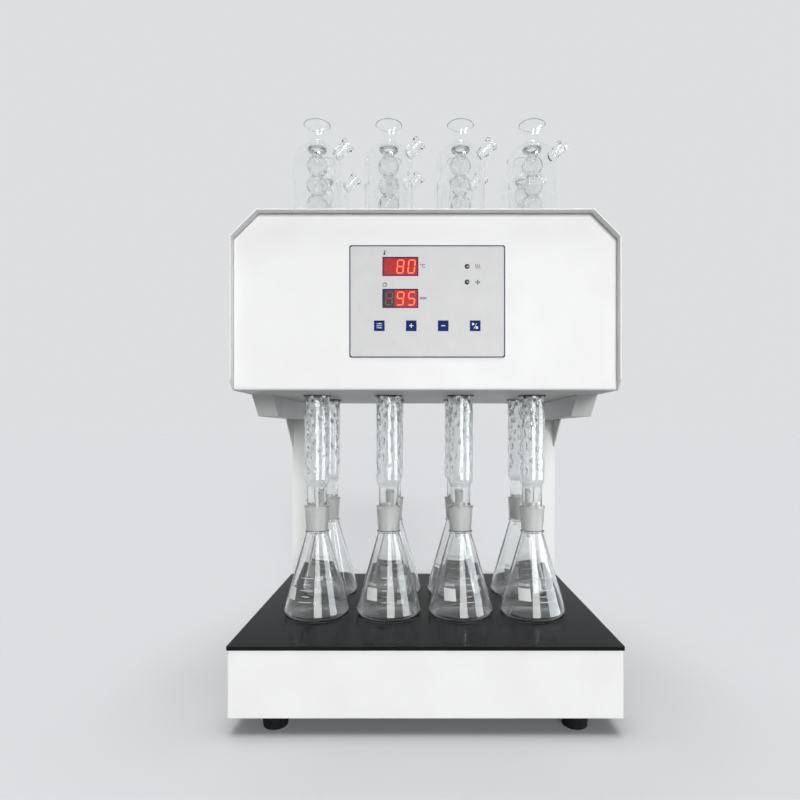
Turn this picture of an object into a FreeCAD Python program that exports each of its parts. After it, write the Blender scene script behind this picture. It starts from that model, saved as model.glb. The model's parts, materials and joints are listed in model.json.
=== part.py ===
import FreeCAD, Part
import math
import os

# A bench reactor for chemical oxygen demand tests, in millimetres, +Z up.
# Eight conical flasks stand on a black glass-ceramic hotplate in two rows of four.
# A glass reflux condenser drops through the head cabinet into the neck of each flask.
# X runs to the right, Y to the back. The origin is on the floor, under the middle of the outline.

VECTOR = FreeCAD.Vector
UP = VECTOR(0, 0, 1)
BACK = VECTOR(0, 1, 0)
RIGHT = VECTOR(1, 0, 0)
FULL_TURN_DEG = 360.0
QUARTER_TURN_DEG = 90.0

# Shared clearances
cut_overrun = 1.0
sheet_gap = 0.3
seat_gap = 0.2

# Base cabinet
base_width = 410.0
base_depth = 330.0
base_height = 70.0
base_sheet = 1.5
base_corner_radius = 2.5
ledge_width = 12.0
bottom_slot_length = 60.0
bottom_slot_width = 4.0
bottom_slot_pitch = 12.0
bottom_slot_count = 6

# Rubber feet and their screws
foot_height = 19.0
foot_top_radius = 14.5
foot_bottom_radius = 13.0
foot_inset_x = 44.5
foot_inset_y = 25.0
foot_pocket_radius = 6.0
foot_pocket_depth = 9.0
foot_screw_radius = 2.5
foot_screw_head_radius = 4.8
foot_screw_head_height = 3.2
foot_screw_tail = 4.0
screw_clearance = 0.2

# Glass-ceramic hotplate
glass_thickness = 4.0
glass_overhang = 1.0
column_strip = 30.0
glass_corner_radius = 3.0
glass_edge_chamfer = 0.6

# Conical flasks, 250 ml, with a ground neck
flask_heel_radius = 7.0
flask_cone_height = 99.5
flask_neck_radius = 12.8
flask_neck_height = 32.6
flask_neck_mouth_radius = 14.8
flask_rim_radius = 15.6
flask_rim_height = 2.5
flask_collar_radius = 14.4
flask_collar_height = 3.0
flask_wall = 1.8
flask_punt_rise = 1.6
flask_side_margin = 74.5
flask_gap = 7.6
flask_row_gap = 11.6
flask_columns = 4
flask_rows = 2

# Ground joint between flask and condenser, a 1 in 10 taper
joint_mouth_radius = 12.0
joint_length = 29.0
joint_taper = 0.1
joint_gap = 0.15

# Head cabinet
head_lift = 265.2
head_height = 189.3
head_setback = 8.0
head_back_gap = 6.0
head_chamfer = 28.0
head_sheet = 1.5
panel_recess = 10.0
panel_bend_radius = 3.0
rim_cut_height = 10.5
chassis_flange = 15.0

# Support frame: square tube columns and arms with gusset plates
tube_size = 25.0
tube_wall = 1.5
column_gap = 1.5
arm_setback = 79.0
arm_end_slope = 27.0
gusset_size = 43.0
gusset_thickness = 2.0
column_plate = 4.0
bolt_radius = 3.0
bolt_head_radius = 5.0
bolt_head_height = 4.0
bolt_length = 9.0
bolt_spacing = 11.0

# Condensers
jacket_radius = 29.5
jacket_wall = 2.0
jacket_height = 87.9
jacket_foot_radius = 6.0
dome_radius = 21.0
tube_radius = 15.0
glass_wall = 1.8
taper_length = 8.0
taper_start = 22.5
bulb_radius = 12.7
bulb_wall = 1.5
bulb_pitch = 23.5
bulb_count = 4
throat_radius = 6.5
bulb_inset = 15.0
mouth_neck_length = 13.2
mouth_radius = 16.2
mouth_height = 14.1
mouth_wall = 1.5
tip_radius = 6.5
tip_length = 10.0
tip_bevel = 6.0
port_radius = 7.0
port_rim_radius = 8.5
port_rim_length = 4.0
port_bore = 4.5
port_length = 19.0
port_rise = 12.5
port_tilt_deg = 45.0
port_turn_deg = (0.0, -8.0, -4.0, 6.0)
thorn_rows = 4
thorns_per_row = 3
thorn_base = 5.0
thorn_length = 9.0
thorn_droop = 3.0
thorn_pitch = 18.0
thorn_turn_deg = 60.0
thorn_margin = 14.0

# Seats in the hood and guides in the floor of the head
seat_radius = 27.0
seat_thickness = 3.0
seat_spigot_radius = 19.5
seat_spigot_length = 4.0
guide_radius = 18.0
guide_thickness = 1.0
guide_spigot_radius = 16.8
guide_spigot_length = 3.5
tube_clearance = 0.6

# Heaters under the glass
dish_inset = 1.4
dish_wall = 5.0
dish_floor = 4.0
dish_height = 27.0
disc_gap = 2.0
disc_thickness = 7.0
tray_sheet = 1.5
tray_side_gap = 19.0
tray_margin = 6.0
probe_radius = 3.0
probe_flange_radius = 7.0
probe_flange_thickness = 2.0

# Parts on the bottom plate
sink_width = 60.0
sink_depth = 46.0
sink_base = 4.0
sink_height = 20.0
sink_fin = 1.6
sink_fins = 8
relay_width = 44.0
relay_depth = 34.0
relay_height = 12.0
service_inset_y = 36.0
relay_offset_x = 40.0
terminal_width = 52.0
terminal_depth = 20.0
terminal_height = 16.0
terminal_ways = 5
terminal_slot = 6.0
terminal_slot_depth = 5.0
terminal_offset_x = 22.0

# Power inlet and rocker switch on the back of the base
inlet_width = 48.0
inlet_height = 28.0
inlet_flange = 2.0
inlet_body_width = 30.0
inlet_body_height = 22.0
inlet_body_depth = 20.0
inlet_socket_width = 25.0
inlet_socket_height = 17.0
inlet_socket_depth = 16.0
inlet_socket_chamfer = 4.0
pin_width = 2.0
pin_height = 4.0
pin_length = 14.0
pin_spacing = 7.0
pin_drop = 2.0
inlet_inset_x = 65.0
rocker_inset_x = 117.0
service_height = 36.0
rocker_frame_width = 24.0
rocker_frame_height = 31.0
rocker_body_width = 21.0
rocker_body_height = 28.0
rocker_body_depth = 16.0
rocker_width = 17.0
rocker_half_height = 10.5
rocker_face = 7.5
rocker_dish = 1.5
rocker_back_half = 7.0
rocker_pivot_depth = 6.2
rocker_tilt_deg = 8.0
rocker_gap = 0.5
rocker_pin_radius = 1.5
rocker_pin_gap = 0.05

# Control panel
overlay_width = 166.0
overlay_height = 120.0
overlay_thickness = 0.8
overlay_corner_radius = 2.5
overlay_offset_x = 2.0
overlay_centre_height = 94.3
display_width = 37.8
display_height = 20.0
display_x = -28.5
display_rise = 37.1
display_step = 33.9
display_sink = 0.4
lamp_radius = 2.5
lamp_x = 42.3
lamp_step = 16.6
lamp_flange_radius = 2.9
lamp_flange = 1.0
window_gap = 0.3
key_size = 11.0
key_corner_radius = 1.2
key_thickness = 0.8
key_proud = 0.2
key_pitch = 33.9
key_drop = 25.8
key_travel = 0.5
key_gap = 0.2
key_stem_radius = 2.0
board_width = 150.0
board_height = 104.0
board_thickness = 1.6
board_standoff = 6.0
standoff_radius = 3.0
standoff_inset = 5.0
switch_size = 6.0
switch_height = 3.5
plunger_radius = 1.6
plunger_height = 1.4

# Fans on the back panel
fan_size = 120.0
fan_depth = 25.0
fan_corner_radius = 6.0
fan_duct_radius = 57.0
fan_offset_x = 82.0
fan_hub_radius = 20.0
fan_stator_depth = 6.0
fan_strut_width = 5.0
fan_shaft_radius = 2.0
fan_shaft_gap = 0.05
fan_rotor_depth = 16.0
fan_rotor_gap = 0.5
fan_tip_gap = 1.5
fan_blades = 7
fan_blade_thickness = 1.6
fan_blade_pitch_deg = 35.0
grille_radius = 54.0
grille_slot = 7.0
grille_bar = 4.0
grille_slots = 9

# Power supply on the floor of the head
supply_side_gap = 3.5
supply_depth = 44.0
supply_height = 34.0
supply_inset = 36.0

# Levels and places that follow from the sizes above
base_bottom_z = foot_height
base_top_z = base_bottom_z + base_height
glass_top_z = base_top_z + glass_thickness
head_bottom_z = glass_top_z + head_lift
head_top_z = head_bottom_z + head_height
neck_top_z = glass_top_z + flask_cone_height + flask_neck_height
seat_top_z = head_top_z + seat_thickness
dome_start_z = seat_top_z + jacket_height
dome_top_z = dome_start_z + dome_radius
mouth_z = dome_top_z + mouth_neck_length + mouth_height

half_width = base_width / 2
glass_depth = base_depth - column_strip
head_depth = glass_depth - head_setback - head_back_gap

column_pitch = (base_width - 2 * flask_side_margin) / (flask_columns - 1)
flask_body_radius = (column_pitch - flask_gap) / 2
flask_foot_radius = flask_body_radius - flask_heel_radius
row_pitch = 2 * flask_body_radius + flask_row_gap
first_row_inset = (glass_depth - (flask_rows - 1) * row_pitch) / 2

dish_radius = flask_body_radius - dish_inset
disc_radius = dish_radius - dish_wall - disc_gap
tray_width = base_width - 2 * tray_side_gap
tray_depth = (flask_rows - 1) * row_pitch + 2 * (dish_radius + tray_margin)
inlet_offset_x = half_width - inlet_inset_x
rocker_offset_x = half_width - rocker_inset_x
supply_width = column_pitch - 2 * (tube_radius + supply_side_gap)

rocker_corner_reach = math.hypot(rocker_half_height, rocker_face)
rocker_corner_deg = math.degrees(math.atan2(rocker_face, rocker_half_height))
rocker_reach = (
    inlet_flange
    - rocker_pivot_depth
    + rocker_corner_reach * math.sin(math.radians(rocker_corner_deg + rocker_tilt_deg))
)
front_y = -(glass_overhang + base_depth + rocker_reach) / 2 + glass_overhang
back_y = front_y + base_depth
head_front_y = front_y + head_setback
head_back_y = head_front_y + head_depth
panel_y = head_front_y + panel_recess
column_y = max(head_back_y, front_y + glass_depth) + column_gap
centre_x = overlay_offset_x
panel_centre_z = head_bottom_z + overlay_centre_height

saved = []


def save(name, shape):
    """Writes one named sub-part and notes how many solids it has."""
    shape = shape.removeSplitter() if len(shape.Solids) == 1 else shape
    shape.exportStep(os.path.join("parts", name + ".step"))
    saved.append((name, shape))
    print(name, len(shape.Solids), "solids", round(shape.Volume), "mm3", "valid", shape.isValid())


def block(x0, x1, y0, y1, z0, z1):
    """A box between two corners."""
    return Part.makeBox(x1 - x0, y1 - y0, z1 - z0, VECTOR(x0, y0, z0))


def rod(x, y, z, radius, length, axis=UP):
    """A cylinder from a point along an axis."""
    return Part.makeCylinder(radius, length, VECTOR(x, y, z), axis)


def rounded_block(x0, x1, y0, y1, z0, z1, radius, axis=UP):
    """A box with its four edges along one axis rounded."""
    shape = block(x0, x1, y0, y1, z0, z1)
    along = [e for e in shape.Edges if abs(abs(e.tangentAt(e.FirstParameter).dot(axis)) - 1) < radius / 1e6]
    return shape.makeFillet(radius, along)


def prism(points, direction):
    """A flat outline pushed along a direction."""
    return Part.Face(Part.makePolygon(points + points[:1])).extrude(direction)


def outline(start, steps):
    """A closed wire in the X-Z plane. A step is a point, or a middle point and an end point of an arc."""
    edges = []
    here = start
    for step in steps + [start]:
        if isinstance(step[0], tuple):
            middle, end = step
            ends = [VECTOR(p[0], 0, p[1]) for p in (here, middle, end)]
            edges.append(Part.Arc(*ends).toShape())
        else:
            end = step
            edges.append(Part.LineSegment(VECTOR(here[0], 0, here[1]), VECTOR(end[0], 0, end[1])).toShape())
        here = end
    return Part.Wire(edges)


def turned(*wires):
    """A solid turned about the Z axis from an outline and the outlines of its hollows."""
    face = Part.makeFace(Part.makeCompound(list(wires)), "Part::FaceMakerBullseye")
    return face.revolve(VECTOR(0, 0, 0), UP, FULL_TURN_DEG)


def arc_step(centre, radius, start_deg, end_deg):
    """The middle and end of an arc about a centre, for an outline."""
    middle = math.radians((start_deg + end_deg) / 2)
    end = math.radians(end_deg)
    return (
        (centre[0] + radius * math.cos(middle), centre[1] + radius * math.sin(middle)),
        (centre[0] + radius * math.cos(end), centre[1] + radius * math.sin(end)),
    )


def placed(shape, x, y, z=0.0, turn_deg=0.0):
    """A copy of a shape turned about Z and moved."""
    copy = shape.copy()
    copy.rotate(VECTOR(0, 0, 0), UP, turn_deg)
    copy.translate(VECTOR(x, y, z))
    return copy


def flask_places():
    """Row name, number from the left, and the axis of each flask and condenser."""
    places = []
    for row in range(flask_rows):
        name = ("front", "rear")[row]
        for column in range(flask_columns):
            x = (column - (flask_columns - 1) / 2) * column_pitch
            places.append((name, column, x, front_y + first_row_inset + row * row_pitch))
    return places


def on_each_place(shape):
    """The same piece under or over every flask, as one group."""
    return Part.makeCompound([placed(shape, x, y) for _, _, x, y in flask_places()])


def foot_places():
    """The four foot centres."""
    x = half_width - foot_inset_x
    y0, y1 = front_y + foot_inset_y, back_y - foot_inset_y
    return [(-x, y0), (x, y0), (-x, y1), (x, y1)]


def column_places():
    """Side name, inner and outer X, and the sign of each column."""
    return [
        ("left", -half_width, tube_size - half_width),
        ("right", half_width - tube_size, half_width),
    ]


def bolt_places():
    """Two bolts up into each column."""
    y = column_y + tube_size / 2
    places = []
    for _, x0, x1 in column_places():
        middle = (x0 + x1) / 2
        places += [(middle - bolt_spacing / 2, y), (middle + bolt_spacing / 2, y)]
    return places


def make_base_shell():
    """A folded sheet box, open below, with a ledge round the heater opening and a strip for the columns."""
    outer = rounded_block(
        -half_width, half_width, front_y, back_y, base_bottom_z, base_top_z, base_corner_radius
    )
    inside = half_width - base_sheet
    shell = outer.cut(
        block(
            -inside, inside, front_y + base_sheet, back_y - base_sheet,
            base_bottom_z - cut_overrun, base_top_z - base_sheet,
        )
    )
    opening = half_width - ledge_width
    shell = shell.cut(
        block(
            -opening, opening, front_y + ledge_width, front_y + glass_depth - ledge_width,
            base_top_z - base_sheet - cut_overrun, base_top_z + cut_overrun,
        )
    )
    hole = bolt_radius + screw_clearance
    below = base_top_z - base_sheet - cut_overrun
    through = base_sheet + 2 * cut_overrun
    for x, y in bolt_places():
        shell = shell.cut(rod(x, y, below, hole, through))
    z = base_bottom_z + service_height
    wall_y = back_y - base_sheet - cut_overrun
    for x, width, height in (
        (-inlet_offset_x, inlet_body_width, inlet_body_height),
        (-rocker_offset_x, rocker_body_width, rocker_body_height),
    ):
        half, tall = width / 2 + sheet_gap, height / 2 + sheet_gap
        shell = shell.cut(block(x - half, x + half, wall_y, back_y + cut_overrun, z - tall, z + tall))
    return shell


def make_base_bottom():
    """The plate that closes the base from below, with two banks of air slots."""
    x = half_width - base_sheet - sheet_gap
    y0, y1 = front_y + base_sheet + sheet_gap, back_y - base_sheet - sheet_gap
    plate = block(-x, x, y0, y1, base_bottom_z, base_bottom_z + base_sheet)
    middle = (y0 + y1) / 2
    for side in (-1, 1):
        for number in range(bottom_slot_count):
            y = middle + (number - (bottom_slot_count - 1) / 2) * bottom_slot_pitch
            centre = side * half_width / 2
            plate = plate.cut(
                block(
                    centre - bottom_slot_length / 2, centre + bottom_slot_length / 2,
                    y - bottom_slot_width / 2, y + bottom_slot_width / 2,
                    base_bottom_z - cut_overrun, base_bottom_z + base_sheet + cut_overrun,
                )
            )
    for x, y in foot_places():
        hole = foot_screw_radius + screw_clearance
        plate = plate.cut(rod(x, y, base_bottom_z - cut_overrun, hole, base_sheet + 2 * cut_overrun))
    return plate


def make_feet():
    """Four tapered rubber feet with a pocket for the screw head."""
    foot = Part.makeCone(foot_bottom_radius, foot_top_radius, foot_height)
    foot = foot.cut(rod(0, 0, -cut_overrun, foot_pocket_radius, foot_pocket_depth + cut_overrun))
    foot = foot.cut(rod(0, 0, 0, foot_screw_radius + screw_clearance, foot_height + cut_overrun))
    return Part.makeCompound([placed(foot, x, y) for x, y in foot_places()])


def make_foot_screws():
    """A pan head screw up through each foot into the bottom plate."""
    head_z = foot_pocket_depth - foot_screw_head_height
    head = rod(0, 0, head_z, foot_screw_head_radius, foot_screw_head_height)
    length = foot_height + base_sheet + foot_screw_tail - foot_pocket_depth
    screw = head.fuse(rod(0, 0, foot_pocket_depth, foot_screw_radius, length)).removeSplitter()
    return Part.makeCompound([placed(screw, x, y) for x, y in foot_places()])


def make_glass_top():
    """The black glass-ceramic plate that the flasks stand on."""
    x = half_width + glass_overhang
    plate = rounded_block(
        -x, x, front_y - glass_overhang, front_y + glass_depth, base_top_z, glass_top_z, glass_corner_radius
    )
    top_edges = [e for e in plate.Edges if e.BoundBox.ZMin > glass_top_z - glass_thickness / 2]
    return plate.makeChamfer(glass_edge_chamfer, top_edges)


def heater_floor_z():
    """The level that the heater dishes stand on."""
    return base_top_z - seat_gap - dish_height


def tray_span_y():
    """Front and back of the heater tray."""
    middle = front_y + first_row_inset + row_pitch * (flask_rows - 1) / 2
    return middle - tray_depth / 2, middle + tray_depth / 2


def make_heater_tray():
    """A folded tray on the bottom plate that carries the heaters up against the glass."""
    y0, y1 = tray_span_y()
    x = tray_width / 2
    z0, z1 = base_bottom_z + base_sheet, heater_floor_z()
    tray = block(-x, x, y0, y1, z0, z1)
    return tray.cut(
        block(-x + tray_sheet, x - tray_sheet, y0 - cut_overrun, y1 + cut_overrun, z0 - cut_overrun, z1 - tray_sheet)
    )


def make_heater_dishes():
    """Eight insulating dishes, one under each flask."""
    z = heater_floor_z()
    dish = rod(0, 0, z, dish_radius, dish_height)
    dish = dish.cut(rod(0, 0, z + dish_floor, dish_radius - dish_wall, dish_height))
    return on_each_place(dish)


def make_heater_discs():
    """Eight infrared heating discs lying in the dishes."""
    return on_each_place(rod(0, 0, heater_floor_z() + dish_floor, disc_radius, disc_thickness))


def make_temperature_probe():
    """The probe that stands on the tray between the dishes and touches the glass from below."""
    y0, y1 = tray_span_y()
    z = heater_floor_z()
    flange = rod(0, (y0 + y1) / 2, z, probe_flange_radius, probe_flange_thickness)
    return flange.fuse(rod(0, (y0 + y1) / 2, z, probe_radius, dish_height)).removeSplitter()


def service_place_y():
    """Depth at which the relay and terminals stand, behind the tray."""
    return back_y - service_inset_y


def make_relay_heatsink():
    """A finned heat sink on the bottom plate."""
    z = base_bottom_z + base_sheet
    y = service_place_y()
    x0, x1 = relay_offset_x - sink_width / 2, relay_offset_x + sink_width / 2
    sink = block(x0, x1, y - sink_depth / 2, y + sink_depth / 2, z, z + sink_height)
    fin_pitch = (sink_width - sink_fin) / (sink_fins - 1)
    for number in range(sink_fins - 1):
        left = x0 + sink_fin + number * fin_pitch
        sink = sink.cut(
            block(
                left, left + fin_pitch - sink_fin, y - sink_depth / 2 - cut_overrun,
                y + sink_depth / 2 + cut_overrun, z - cut_overrun, z + sink_height - sink_base,
            )
        )
    return sink


def make_solid_state_relay():
    """The relay that switches the heaters, on its heat sink."""
    z = base_bottom_z + base_sheet + sink_height
    y = service_place_y()
    return block(
        relay_offset_x - relay_width / 2, relay_offset_x + relay_width / 2,
        y - relay_depth / 2, y + relay_depth / 2, z, z + relay_height,
    )


def make_terminal_block():
    """A block of wire terminals with a slot for each way."""
    z = base_bottom_z + base_sheet
    y = service_place_y()
    x0 = -terminal_offset_x - terminal_width / 2
    terminals = block(x0, x0 + terminal_width, y - terminal_depth / 2, y + terminal_depth / 2, z, z + terminal_height)
    way = terminal_width / terminal_ways
    for number in range(terminal_ways):
        middle = x0 + (number + 1 / 2) * way
        terminals = terminals.cut(
            block(
                middle - terminal_slot / 2, middle + terminal_slot / 2, y - terminal_depth / 2 - cut_overrun,
                y + terminal_depth / 2 + cut_overrun, z + terminal_height - terminal_slot_depth,
                z + terminal_height + cut_overrun,
            )
        )
    return terminals


def make_power_inlet():
    """A mains inlet: flange outside, socket body inside the base."""
    x, z = -inlet_offset_x, base_bottom_z + service_height
    flange = block(
        x - inlet_width / 2, x + inlet_width / 2, back_y, back_y + inlet_flange,
        z - inlet_height / 2, z + inlet_height / 2,
    )
    body = block(
        x - inlet_body_width / 2, x + inlet_body_width / 2, back_y - inlet_body_depth, back_y,
        z - inlet_body_height / 2, z + inlet_body_height / 2,
    )
    w, h, c = inlet_socket_width / 2, inlet_socket_height / 2, inlet_socket_chamfer
    y = back_y + inlet_flange - inlet_socket_depth
    corners = [(-w, -h), (w, -h), (w, h - c), (w - c, h), (-w + c, h), (-w, h - c)]
    socket = prism([VECTOR(x + u, y, z + v) for u, v in corners], BACK * (inlet_socket_depth + cut_overrun))
    return flange.fuse(body).removeSplitter().cut(socket)


def make_inlet_pins():
    """The three pins inside the mains inlet."""
    z = base_bottom_z + service_height - pin_drop
    y = back_y + inlet_flange - inlet_socket_depth
    pins = []
    for number, rise in ((-1, 0), (0, pin_height), (1, 0)):
        x = -inlet_offset_x + number * pin_spacing
        low = z - pin_height / 2 + (rise - pin_height) / 2
        pins.append(block(x - pin_width / 2, x + pin_width / 2, y, y + pin_length, low, low + pin_height))
    return Part.makeCompound(pins)


def rocker_pivot():
    """The axis of the rocker switch."""
    return VECTOR(-rocker_offset_x, back_y + inlet_flange - rocker_pivot_depth, base_bottom_z + service_height)


def rocker_window_half():
    """Half the height of the window that the rocker swings in."""
    low_deg = rocker_corner_deg - rocker_tilt_deg
    return rocker_corner_reach * math.cos(math.radians(low_deg)) + rocker_gap


def make_rocker_frame():
    """The bezel and body of the power switch, with the pins that the rocker turns on."""
    pivot = rocker_pivot()
    x, z = pivot.x, pivot.z
    flange = block(
        x - rocker_frame_width / 2, x + rocker_frame_width / 2, back_y, back_y + inlet_flange,
        z - rocker_frame_height / 2, z + rocker_frame_height / 2,
    )
    body = block(
        x - rocker_body_width / 2, x + rocker_body_width / 2, back_y - rocker_body_depth, back_y,
        z - rocker_body_height / 2, z + rocker_body_height / 2,
    )
    half = rocker_width / 2 + rocker_gap
    tall = rocker_window_half()
    floor_y = back_y - rocker_body_depth + base_sheet
    window = block(x - half, x + half, floor_y, back_y + inlet_flange + cut_overrun, z - tall, z + tall)
    frame = flange.fuse(body).removeSplitter().cut(window)
    pin = rod(x - half - base_sheet / 2, pivot.y, z, rocker_pin_radius, 2 * half + base_sheet, RIGHT)
    return frame.fuse(pin).removeSplitter()


def make_rocker_paddle():
    """The rocker, resting in its off position with the upper half standing out."""
    pivot = rocker_pivot()
    x0 = pivot.x - rocker_width / 2
    points = [
        (-rocker_pin_radius - rocker_dish, -rocker_back_half),
        (rocker_face, -rocker_half_height),
        (rocker_face - rocker_dish, 0),
        (rocker_face, rocker_half_height),
        (-rocker_pin_radius - rocker_dish, rocker_back_half),
    ]
    paddle = prism([VECTOR(x0, pivot.y + u, pivot.z + v) for u, v in points], RIGHT * rocker_width)
    bore = rod(x0 - cut_overrun, pivot.y, pivot.z, rocker_pin_radius + rocker_pin_gap, rocker_width + 2 * cut_overrun, RIGHT)
    paddle = paddle.cut(bore)
    paddle.rotate(pivot, RIGHT, -rocker_tilt_deg)
    return paddle


def make_column(x0, x1):
    """A square tube with an end plate below, bolted on from inside the base, and a cap on top."""
    y0, y1 = column_y, column_y + tube_size
    column = block(x0, x1, y0, y1, base_top_z, head_bottom_z)
    column = column.cut(
        block(
            x0 + tube_wall, x1 - tube_wall, y0 + tube_wall, y1 - tube_wall,
            base_top_z + column_plate, head_bottom_z - tube_wall,
        )
    )
    for x, y in bolt_places():
        if x0 < x < x1:
            column = column.cut(
                rod(x, y, base_top_z - cut_overrun, bolt_radius + screw_clearance, column_plate + 2 * cut_overrun)
            )
    return column


def make_arm(x0, x1):
    """A square tube under the head, butted on the column, with its free end closed at a slope."""
    y1 = column_y
    y0 = head_front_y + arm_setback
    z0, z1 = head_bottom_z - tube_size, head_bottom_z
    side = [VECTOR(x0, y0, z1), VECTOR(x0, y1, z1), VECTOR(x0, y1, z0), VECTOR(x0, y0 + arm_end_slope, z0)]
    arm = prism(side, RIGHT * (x1 - x0))
    slope = arm_end_slope / tube_size
    end = tube_wall * math.hypot(1, slope)
    top_y = y0 + end + slope * tube_wall
    low_y = y0 + end + slope * (tube_size - tube_wall)
    inner = [
        VECTOR(x0 + tube_wall, top_y, z1 - tube_wall),
        VECTOR(x0 + tube_wall, y1 + cut_overrun, z1 - tube_wall),
        VECTOR(x0 + tube_wall, y1 + cut_overrun, z0 + tube_wall),
        VECTOR(x0 + tube_wall, low_y, z0 + tube_wall),
    ]
    return arm.cut(prism(inner, RIGHT * (x1 - x0 - 2 * tube_wall)))


def make_gusset(x0):
    """A triangular plate in the corner of column and arm, flush with their outer sides."""
    z = head_bottom_z - tube_size
    corner = [VECTOR(x0, column_y, z), VECTOR(x0, column_y - gusset_size, z), VECTOR(x0, column_y, z - gusset_size)]
    return prism(corner, RIGHT * gusset_thickness)


def make_column_bolts():
    """Bolts from inside the base up into the end plates of the columns."""
    z = base_top_z - base_sheet
    head = rod(0, 0, z - bolt_head_height, bolt_head_radius, bolt_head_height)
    bolt = head.fuse(rod(0, 0, z, bolt_radius, bolt_length)).removeSplitter()
    return Part.makeCompound([placed(bolt, x, y) for x, y in bolt_places()])


def head_outline(inset, y):
    """The outline of the head with its two chamfered corners, drawn in by an inset."""
    x = half_width - inset
    top = head_top_z - inset
    leg = head_chamfer - inset * (2 - math.sqrt(2))
    return [
        VECTOR(-x, y, head_bottom_z),
        VECTOR(-x, y, top - leg),
        VECTOR(-x + leg, y, top),
        VECTOR(x - leg, y, top),
        VECTOR(x, y, top - leg),
        VECTOR(x, y, head_bottom_z),
    ]


def make_head_hood():
    """The folded cover: top, chamfers and sides. It stands forward of the front panel as a rim."""
    hood = prism(head_outline(0, head_front_y), BACK * head_depth)
    inner = [p - UP * cut_overrun if p.z == head_bottom_z else p for p in head_outline(head_sheet, head_front_y)]
    inner = [p - BACK * cut_overrun for p in inner]
    hood = hood.cut(prism(inner, BACK * (head_depth + 2 * cut_overrun)))
    corner = [
        VECTOR(-half_width - cut_overrun, head_front_y, head_bottom_z),
        VECTOR(-half_width - cut_overrun, head_front_y + panel_recess, head_bottom_z),
        VECTOR(-half_width - cut_overrun, head_front_y, head_bottom_z + rim_cut_height),
    ]
    hood = hood.cut(prism(corner, RIGHT * (base_width + 2 * cut_overrun)))
    z = head_top_z - head_sheet - cut_overrun
    hole = rod(0, 0, z, seat_spigot_radius + seat_gap, head_sheet + 2 * cut_overrun)
    return hood.cut(on_each_place(hole))


def panel_places():
    """Centres of the two displays, the two lamps and the four keys on the panel, as X and Z."""
    displays = [(centre_x + display_x, panel_centre_z + display_rise - n * display_step) for n in range(2)]
    lamps = [(centre_x + lamp_x, panel_centre_z + display_rise - n * lamp_step) for n in range(2)]
    keys = [(centre_x + (n - 3 / 2) * key_pitch, panel_centre_z - key_drop) for n in range(4)]
    return displays, lamps, keys


def panel_holes(y0, y1, gap):
    """The holes that displays, lamps and keys need in a sheet."""
    displays, lamps, keys = panel_places()
    w, h = display_width / 2 + gap, display_height / 2 + gap
    holes = [block(x - w, x + w, y0, y1, z - h, z + h) for x, z in displays]
    holes += [rod(x, y0, z, lamp_radius + gap, y1 - y0, BACK) for x, z in lamps]
    k = key_size / 2 + gap
    holes += [block(x - k, x + k, y0, y1, z - k, z + k) for x, z in keys]
    return Part.makeCompound(holes)


def make_head_chassis():
    """Front panel and floor of the head, folded from one sheet, with side flanges for the hood."""
    inset = head_sheet + sheet_gap
    end_y = head_back_y - head_sheet - sheet_gap
    x = half_width - inset
    outer = block(-x, x, panel_y, end_y, head_bottom_z, head_top_z - inset)
    fold = [
        e
        for e in outer.Edges
        if abs(e.BoundBox.YMax - panel_y) < sheet_gap and abs(e.BoundBox.ZMax - head_bottom_z) < sheet_gap
    ]
    outer = outer.makeFillet(panel_bend_radius, fold)
    inside = block(
        -x - cut_overrun, x + cut_overrun, panel_y + head_sheet, end_y + cut_overrun,
        head_bottom_z + head_sheet, head_top_z + cut_overrun,
    )
    chassis = outer.cut(inside)
    for side in (-x, x - head_sheet):
        flange = block(
            side, side + head_sheet, panel_y + head_sheet, end_y,
            head_bottom_z + head_sheet, head_bottom_z + chassis_flange,
        )
        chassis = chassis.fuse(flange)
    shape = prism([p - BACK * cut_overrun for p in head_outline(inset, panel_y)], BACK * (head_depth + cut_overrun))
    chassis = chassis.common(shape).removeSplitter()
    hole = rod(0, 0, head_bottom_z - cut_overrun, guide_spigot_radius + seat_gap, head_sheet + 2 * cut_overrun)
    chassis = chassis.cut(on_each_place(hole))
    return chassis.cut(panel_holes(panel_y - cut_overrun, panel_y + head_sheet + cut_overrun, 2 * window_gap))


def fan_places():
    """Side name and centre X of each fan."""
    return [("left", -fan_offset_x), ("right", fan_offset_x)]


def fan_centre_z():
    """Height of both fan axes."""
    return head_bottom_z + head_height / 2


def make_head_back_panel():
    """The back of the head, punched with a round grille of straight slots behind each fan."""
    y = head_back_y - head_sheet
    panel = prism(head_outline(head_sheet + sheet_gap, y), BACK * head_sheet)
    pitch = grille_slot + grille_bar
    for _, x in fan_places():
        slots = []
        for number in range(grille_slots):
            z = fan_centre_z() + (number - (grille_slots - 1) / 2) * pitch
            half = math.sqrt(grille_radius**2 - (abs(z - fan_centre_z()) + grille_slot / 2) ** 2)
            slots.append(
                block(
                    x - half, x + half, y - cut_overrun, y + head_sheet + cut_overrun,
                    z - grille_slot / 2, z + grille_slot / 2,
                )
            )
        panel = panel.cut(Part.makeCompound(slots))
    return panel


def fan_back_y():
    """The plane where a fan frame meets the back panel."""
    return head_back_y - head_sheet


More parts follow.
